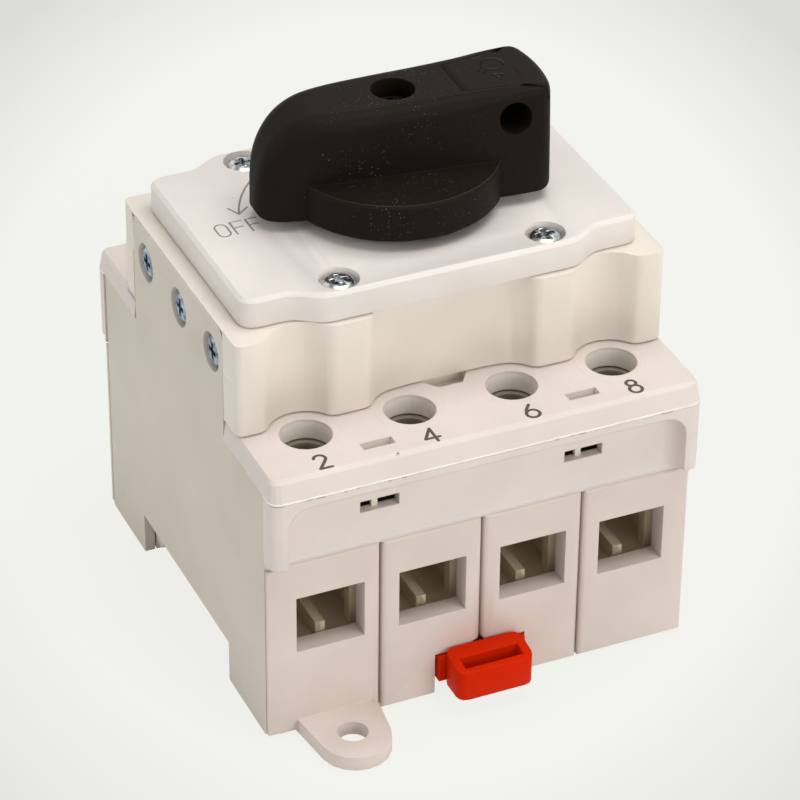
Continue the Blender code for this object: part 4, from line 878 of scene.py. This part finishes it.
filling, cutting, catches, shadows, joint = (bmesh.new() for _ in range(5))
for centre in OLD_WINDOWS:
    add_pair(filling, centre, (-3.4, 3.4), (-35.1, -33.4), OLD_Z)
for centre in NEW_WINDOWS:
    add_pair(cutting, centre, (-3.25, 3.25), (-36.0, -33.0), NEW_Z)
    add_pair(catches, centre, (-0.95, 0.05), (-34.1, -33.2), BEHIND_Z)
    add_pair(shadows, centre, (-3.3, 3.2), (-33.38, -33.18), BEHIND_Z)
add_pair(joint, 0.0, (-35.8, 35.8), (-35.06, -33.7), (32.38, 32.72))
cover = carved(blank(from_node("terminal_cover"), 1.0), [("UNION", filling), ("DIFFERENCE", cutting)])
kept("cover_with_windows", cover, cover_cream, "frame", "terminal_cover", 30.0, flat=True)
finished("window_catches", catches, housing_cream, "frame", 30.0)
# Painted shade: dark sheets behind the windows stand for the shade in the slots beside each catch.
slot_black = moulded("slot_black", colour(14, 12, 8), 0.8, shine=0.05)
finished("window_shadows", shadows, slot_black, "frame", 30.0)
finished("panel_foot", joint, cover_cream, "frame", 30.0)
print("windows at", NEW_WINDOWS)

# %% [markdown]
# ## Rings and seams with Geometry Nodes
#
# The deck has a fine raised ring round each of its eight screw holes, and an ejector pin has left a small
# ring here and there. They are one shape that repeats, so one node tree makes them all: it sweeps a bead
# round a circle and puts it on each point of a mesh. A second tree follows edges: it turns the edges of a
# mesh into curves and sweeps a bead along them, which gives the worn line, a little paler than the rest,
# round the top of the handle's disc. Both end as plain meshes, so that nothing depends on the trees
# afterwards.

# %% Build the two trees
CIRCLE = "GeometryNodeCurvePrimitiveCircle"


def new_tree(name, inputs):
    """A tree that takes a mesh and some sizes, to be written with formulas, and its inputs by name."""
    tree = bpy.data.node_groups.new(name, "GeometryNodeTree")
    tree.interface.new_socket("Geometry", in_out="INPUT", socket_type="NodeSocketGeometry")
    for label in inputs:
        tree.interface.new_socket(label, in_out="INPUT", socket_type="NodeSocketFloat")
    tree.interface.new_socket("Geometry", in_out="OUTPUT", socket_type="NodeSocketGeometry")
    made = Formulas(tree)
    return made, {socket.name: Term(made, socket) for socket in tree.nodes.new("NodeGroupInput").outputs}


def close_tree(made, shape, finish):
    """Ends a tree with real geometry in its finish, and returns it."""
    real = made.node("GeometryNodeRealizeInstances", {}, Geometry=shape)
    painted = made.node("GeometryNodeSetMaterial", {}, Geometry=real, Material=finish.material)
    made.tree.links.new(painted.socket, made.tree.nodes.new("NodeGroupOutput").inputs[0])
    return made.tree


def ring_tree(name, finish):
    """A bead swept round a circle, put on every point of the mesh."""
    made, start = new_tree(name, ("Ring Radius", "Bead Radius", "Length Share", "Height Share"))
    ring = made.node(CIRCLE, {}, Resolution=56, Radius=start["Ring Radius"])
    bead = made.node(CIRCLE, {}, Resolution=6, Radius=start["Bead Radius"])
    swept = made.node("GeometryNodeCurveToMesh", {}, Curve=ring, Profile_Curve=bead)
    share = made.node("ShaderNodeCombineXYZ", {}, 1.0, start["Length Share"], start["Height Share"])
    points = start["Geometry"]
    placed = made.node("GeometryNodeInstanceOnPoints", {}, Points=points, Instance=swept, Scale=share)
    return close_tree(made, placed, finish)


def edge_tree(name, finish):
    """A bead swept along every edge of the mesh."""
    made, start = new_tree(name, ("Bead Radius",))
    curve = made.node("GeometryNodeMeshToCurve", {}, Mesh=start["Geometry"])
    bead = made.node(CIRCLE, {}, Resolution=5, Radius=start["Bead Radius"])
    swept = made.node("GeometryNodeCurveToMesh", {}, Curve=curve, Profile_Curve=bead, Fill_Caps=True)
    return close_tree(made, swept, finish)


print("trees: rings on points, beads along edges")

# %% Run a tree and keep its result
def grown(name, source, tree, sizes, body, turn=None):
    """Runs a tree on a mesh and keeps the plain result as a piece of the switch."""
    piece = linked(name, source)
    modifier = piece.modifiers.new(tree.name, "NODES")
    modifier.node_group = tree
    for socket in tree.interface.items_tree:
        if socket.name in sizes:
            modifier[socket.identifier] = sizes[socket.name] * (1.0 if "Share" in socket.name else MM)
    made = evaluated(piece)
    piece.modifiers.remove(modifier)
    made.name = name
    if turn:
        made.transform(turn)
    made.shade_smooth()
    piece.data = made
    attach(piece, body)
    return piece


cover_ring = ring_tree("cover_ring", faint_mark)


def rings(name, places, ring, bead, length_share=1.0, turn=None):
    """Low rings on the deck, or on another face after a turn."""
    points = bpy.data.meshes.new(f"{name}_places")
    points.from_pydata(places, [], [])
    sizes = {"Ring Radius": ring, "Bead Radius": bead, "Length Share": length_share, "Height Share": 0.3}
    return grown(name, points, cover_ring, sizes, "frame", turn)


print("helpers: grown, rings")

# %% Rings on the deck and the side
deck_rings = rings("deck_rings", [(*place, deck_top) for place in terminals.values()], 5.55, 0.07)
rings("oval_marks", [(-0.0328, -0.031, deck_top), (0.0334, 0.031, deck_top)], 0.42, 0.05, 0.6)
sideways = Matrix.Translation((side_face, 0.0, 0.0)) @ Matrix.Rotation(-math.pi / 2, 4, "Y")
rings("pin_marks", [(0.0087, 0.0277, 0.0), (0.0078, -0.0279, 0.0)], 1.1, 0.07, turn=sideways)
print("deck rings:", len(deck_rings.data.polygons), "faces")

# %% The worn line round the handle's disc
handle_shape = from_node("handle")
on_disc = {f for f in handle_shape.faces if all(abs(v.co.z - disc_top) < 0.00002 for v in f.verts)}
rim = [e for e in handle_shape.edges if sum(f in on_disc for f in e.link_faces) == 1]
touched = {v for e in rim for v in e.verts}
order = {v: i for i, v in enumerate(v for v in handle_shape.verts if v in touched)}
rim_mesh = bpy.data.meshes.new("disc_rim")
rim_mesh.from_pydata([v.co[:] for v in order], [[order[v] for v in e.verts] for e in rim], [])
handle_shape.free()
disc_line = grown("disc_line", rim_mesh, edge_tree("edge_bead", worn_black), {"Bead Radius": 0.05}, "knob")
print("disc line:", len(rim_mesh.edges), "edges,", len(disc_line.data.polygons), "faces")

# %% [markdown]
# ## Numbers and letters
#
# The print is simple line lettering, so each character is drawn as pen strokes on a box 4 units high and
# laid on its surface. Drawing the strokes keeps the line as thin as the real print, which a ready font
# wouldn't.

# %% Draw the print
PRINT_THICK = 0.06
oval = arc((1.05, 2.95), 1.05, 0, 180, 8) + arc((1.05, 1.05), 1.05, 180, 360, 8)
oval += [(2.1, 2.95), (2.095, 3.1)]
GLYPHS = {
    "2": (2.3, [arc((1.1, 2.95), 1.05, 165, -30, 10) + [(0.1, 0.0)], [(0.1, 0.0), (2.3, 0.0)]]),
    "4": (2.6, [[(1.9, 0.0), (1.9, 4.0)], [(1.9, 4.0), (0.0, 1.15)], [(0.0, 1.15), (2.7, 1.15)]]),
    "6": (2.4, [arc((1.15, 1.2), 1.2, -180, 180, 18), [(0.05, 1.6), (0.55, 2.75), (1.55, 4.0)]]),
    "8": (2.3, [arc((1.15, 1.15), 1.15, -90, 270, 18), arc((1.15, 3.15), 0.88, -90, 270, 16)]),
    "O": (2.2, [oval]),
    "F": (2.0, [[(0.0, 0.0), (0.0, 4.0), (2.0, 4.0)], [(0.0, 2.1), (1.7, 2.1)]]),
    "N": (2.3, [[(0.0, 0.0), (0.0, 4.0), (2.2, 0.0), (2.2, 4.0)]]),
}


def lettering(name, text, corner, height, width, level, finish, gap=0.5):
    """Text on a level face, read along X from its lower left corner."""
    scale = height / 4.0
    lines, x = [], corner[0]
    for letter in text:
        advance, shapes = GLYPHS[letter]
        for points in shapes:
            lines.append([(x + px * scale, corner[1] + py * scale) for px, py in points])
        x += (advance + gap) * scale
    drawn(name, lines, width, PRINT_THICK, level, finish)


DIGIT_Y = -36.2
DIGITS = {"2": -27.5, "4": -9.75, "6": 7.3, "8": 24.9}
for digit, corner_x in DIGITS.items():
    lettering(f"number_{digit}", digit, (corner_x, DIGIT_Y), 3.5, 0.54, deck_top, number_ink)
lettering("word_off", "OFF", (-29.2, -1.35), 3.7, 0.3, plate_top, plate_ink, 0.8)
lettering("word_on", "ON", (-2.6, 18.6), 3.7, 0.3, plate_top, plate_ink, 0.8)
print("print:", len(DIGITS), "numbers and two words")

# %% Draw the arrow and two specks
drawn("plate_speck", [[(-23.17, 9.1), (-23.12, 9.12)]], 0.16, 0.03, plate_top, number_ink)
drawn("deck_speck", [[(-15.15, -36.92), (-15.05, -36.88)]], 0.3, 0.03, deck_top, number_ink)
sweep = [(22.7 + 1.7 * i / 12, math.radians(145.0 + 25.2 * i / 12)) for i in range(13)]
arrow = [[(r * math.cos(a), r * math.sin(a)) for r, a in sweep]]
tip = arrow[0][-1]
arrow.append([(-25.0, 6.4), tip, (-22.1, 5.7)])
drawn("arrow", arrow, 0.34, 0.04, plate_top, plate_ink)
print("arrow from", [round(v, 1) for v in arrow[0][0]], "to", [round(v, 1) for v in tip])

# %% [markdown]
# ## Fine lines of the mouldings
#
# Faint raised lines frame a field round each terminal. Along the tongue of the side plate the joint shows
# as a thin pale line, with a darker groove at its lower front end, and a soft bend crosses the side below
# it. They are pen strokes again, drawn flat and then turned onto the side.

# %% Draw the field lines, the side's seam and its bend
FIELD_HALF = 4.9
fields = []
for (word, n), place in terminals.items():
    side = sides[word]
    for offset in (-FIELD_HALF, FIELD_HALF):
        x, y = place.x / MM + offset, place.y / MM
        fields.append([(x, y + side * 10.0), (x, y - side * 1.0)])
drawn("field_lines", fields, 0.1, 0.03, deck_top, faint_mark)


def on_left(name, lines, width, height, finish):
    """Strokes given as (y, z) on the left face."""
    shape = strokes([[(-y, z) for y, z in line] for line in lines], width, height)
    onto_side = Matrix(((0, 0, -1, side_face / MM), (-1, 0, 0, 0), (0, 1, 0, 0), (0, 0, 0, 1)))
    bmesh.ops.transform(shape, matrix=onto_side, verts=shape.verts)
    finished(name, shape, finish, "frame")


SEAM_REAR, SEAM_FRONT, SEAM_CORNER = 19.95, -18.35, 1.6
corner_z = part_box("side_plate")[1].z / MM + 0.15 - SEAM_CORNER
corner = (0.0, corner_z)
seam = [(19.9, 58.7), (SEAM_REAR, corner_z)]
seam += [(SEAM_REAR - SEAM_CORNER + y, z) for y, z in arc(corner, SEAM_CORNER, 0, 90, 4)]
seam += [(SEAM_FRONT + SEAM_CORNER + y, z) for y, z in arc(corner, SEAM_CORNER, 90, 180, 4)]
seam += [(SEAM_FRONT, 58.9)]
on_left("side_seam", [seam, [(SEAM_FRONT, 58.9), (-22.4, 58.95)]], 0.2, 0.06, pale_flash)
on_left("side_groove", [[(-18.4, 58.7), (-18.3, 49.9)], [(23.4, 58.6), (24.0, 49.9)]], 0.16, 0.05, faint_mark)
on_left("side_bend", [[(24.0, 49.0), (-15.0, 46.8)]], 0.25, 0.03, side_cream)
print("field lines:", len(fields))

# %% [markdown]
# ## The padlock sign
#
# The lock slide's top carries an engraved padlock sign, so that a fitter knows what the hole in the grip
# is for. It is a plain sign: a shackle, two short legs and a small arrow, with a fine rib beside it. A
# paler copy of its strokes, shifted a little, is a painted highlight on the engraving's edges.

# %% Engrave the padlock sign
sign_ink = moulded("engraved_black", colour(9, 7, 6), 0.7, shine=0.1)
sign = [arc((17.4, 1.3), 1.75, -40, 190, 12), [(15.6, 1.0), (14.2, -0.1)], [(16.0, -0.2), (14.9, -0.9)]]
sign += [arc((17.4, 1.3), 1.75, 215, 300, 6), [(16.1, -1.7), (16.6, -3.7), (17.6, -2.3), (16.1, -1.7)]]
# Painted highlight: a paler copy of the strokes, shifted a little, stands for light on the engraving's edges.
sign_highlight = moulded("engraved_edge", colour(74, 68, 62), 0.6, shine=0.1)
lit = [[(x + 0.1, y + 0.12) for x, y in line] for line in sign]
drawn("padlock_sign_highlight", lit, 0.26, 0.02, latch_top, sign_highlight, "lock")
drawn("padlock_sign", sign, 0.38, 0.03, latch_top, sign_ink, "lock")
drawn("latch_rib", [[(20.1, -0.3), (20.15, -3.9)]], 0.22, 0.03, latch_top, sign_ink, "lock")
print("padlock sign on the lock slide")

# %% [markdown]
# ## Floor, backdrop and light
#
# The photograph is a studio packshot on white with the shadow retouched away. The floor here is pale and
# keeps a faint contact shadow: its camera-facing colour is mixed from a lit surface and a plain near
# white, and that white is painted a little darker to each side, as light falling off. Three large soft
# lamps and a pale world give the light: the strongest lamp is above, the next in front and a weak one on
# the left.

# %% Build the floor
def pale_mix(formulas, surface, share, tone, ending):
    """Ends a tree with a surface that is partly a plain tone to the camera, gloss and glass."""
    seen = 0.0
    for ray in ("Is Camera Ray", "Is Glossy Ray", "Is Transmission Ray"):
        hit = formulas.node("ShaderNodeLightPath", {}, output=ray)
        seen = formulas.node("ShaderNodeMath", {"operation": "MAXIMUM"}, seen, hit)
    plain = formulas.node("ShaderNodeEmission", {}, Color=tone)
    mixed = formulas.node("ShaderNodeMixShader", {}, seen * share, Term(formulas, surface), plain)
    formulas.tree.links.new(mixed.socket, formulas.tree.nodes[ending].inputs["Surface"])


PALE, FALLOFF_SHADE = colour(243, 244, 239), colour(219, 219, 213)
floor_shape = bmesh.new()
bmesh.ops.create_grid(floor_shape, x_segments=1, y_segments=1, size=4.0)
floor = linked("floor", as_mesh(floor_shape, "floor"))
floor.location.z = -0.0002
floor_finish = Finish("floor_pale", colour(236, 236, 232), 0.9)
across = floor_finish.along("X") * level.x + floor_finish.along("Y") * level.y
away = floor_finish.along("Y") * level.x - floor_finish.along("X") * level.y - 0.07
spread = across * across * (1.0 / 0.075**2) + away * away * (1.0 / 0.13**2)
# Painted shade: the plain white darkens towards the edges, as light falling off round the switch.
painted_falloff = ((spread - 0.95) * 0.9).clamped() * ((7.0 - spread) * 0.25).clamped()
floor_tone = floor_finish.mix(painted_falloff, PALE, FALLOFF_SHADE)
pale_mix(floor_finish, floor_finish.shader.outputs[0], 0.92, floor_tone, "Material Output")
floor.data.materials.append(floor_finish.material)
print("floor:", [round(v, 2) for v in PALE], "to", [round(v, 2) for v in FALLOFF_SHADE])

# %% Build the world and the lamps
world = bpy.data.worlds.new("studio")
scene.world = world
world.use_nodes = True
background = world.node_tree.nodes["Background"]
background.inputs["Color"].default_value = (0.96, 0.98, 1.0, 1.0)
background.inputs["Strength"].default_value = 0.42
pale_mix(Formulas(world.node_tree), background.outputs[0], 1.0, (*PALE, 1.0), "World Output")


def softbox(name, place, size, power, tint):
    """A soft rectangular lamp that faces the switch."""
    lamp = bpy.data.lights.new(name, "AREA")
    lamp.shape = "RECTANGLE"
    lamp.size, lamp.size_y = size
    lamp.energy = power
    lamp.color = tint
    made = linked(name, lamp)
    made.location = place
    made.rotation_euler = (target - Vector(place)).to_track_quat("-Z", "Y").to_euler()


softbox("lamp_over", (0.25, -0.1, 1.3), (0.9, 0.9), 9.9, (1.0, 0.985, 0.97))
softbox("lamp_front", (0.5, -1.25, 0.55), (0.8, 0.7), 7.2, (1.0, 0.975, 0.95))
softbox("lamp_left", (-1.3, 0.1, 0.5), (0.7, 0.7), 3.0, (0.98, 0.99, 1.0))
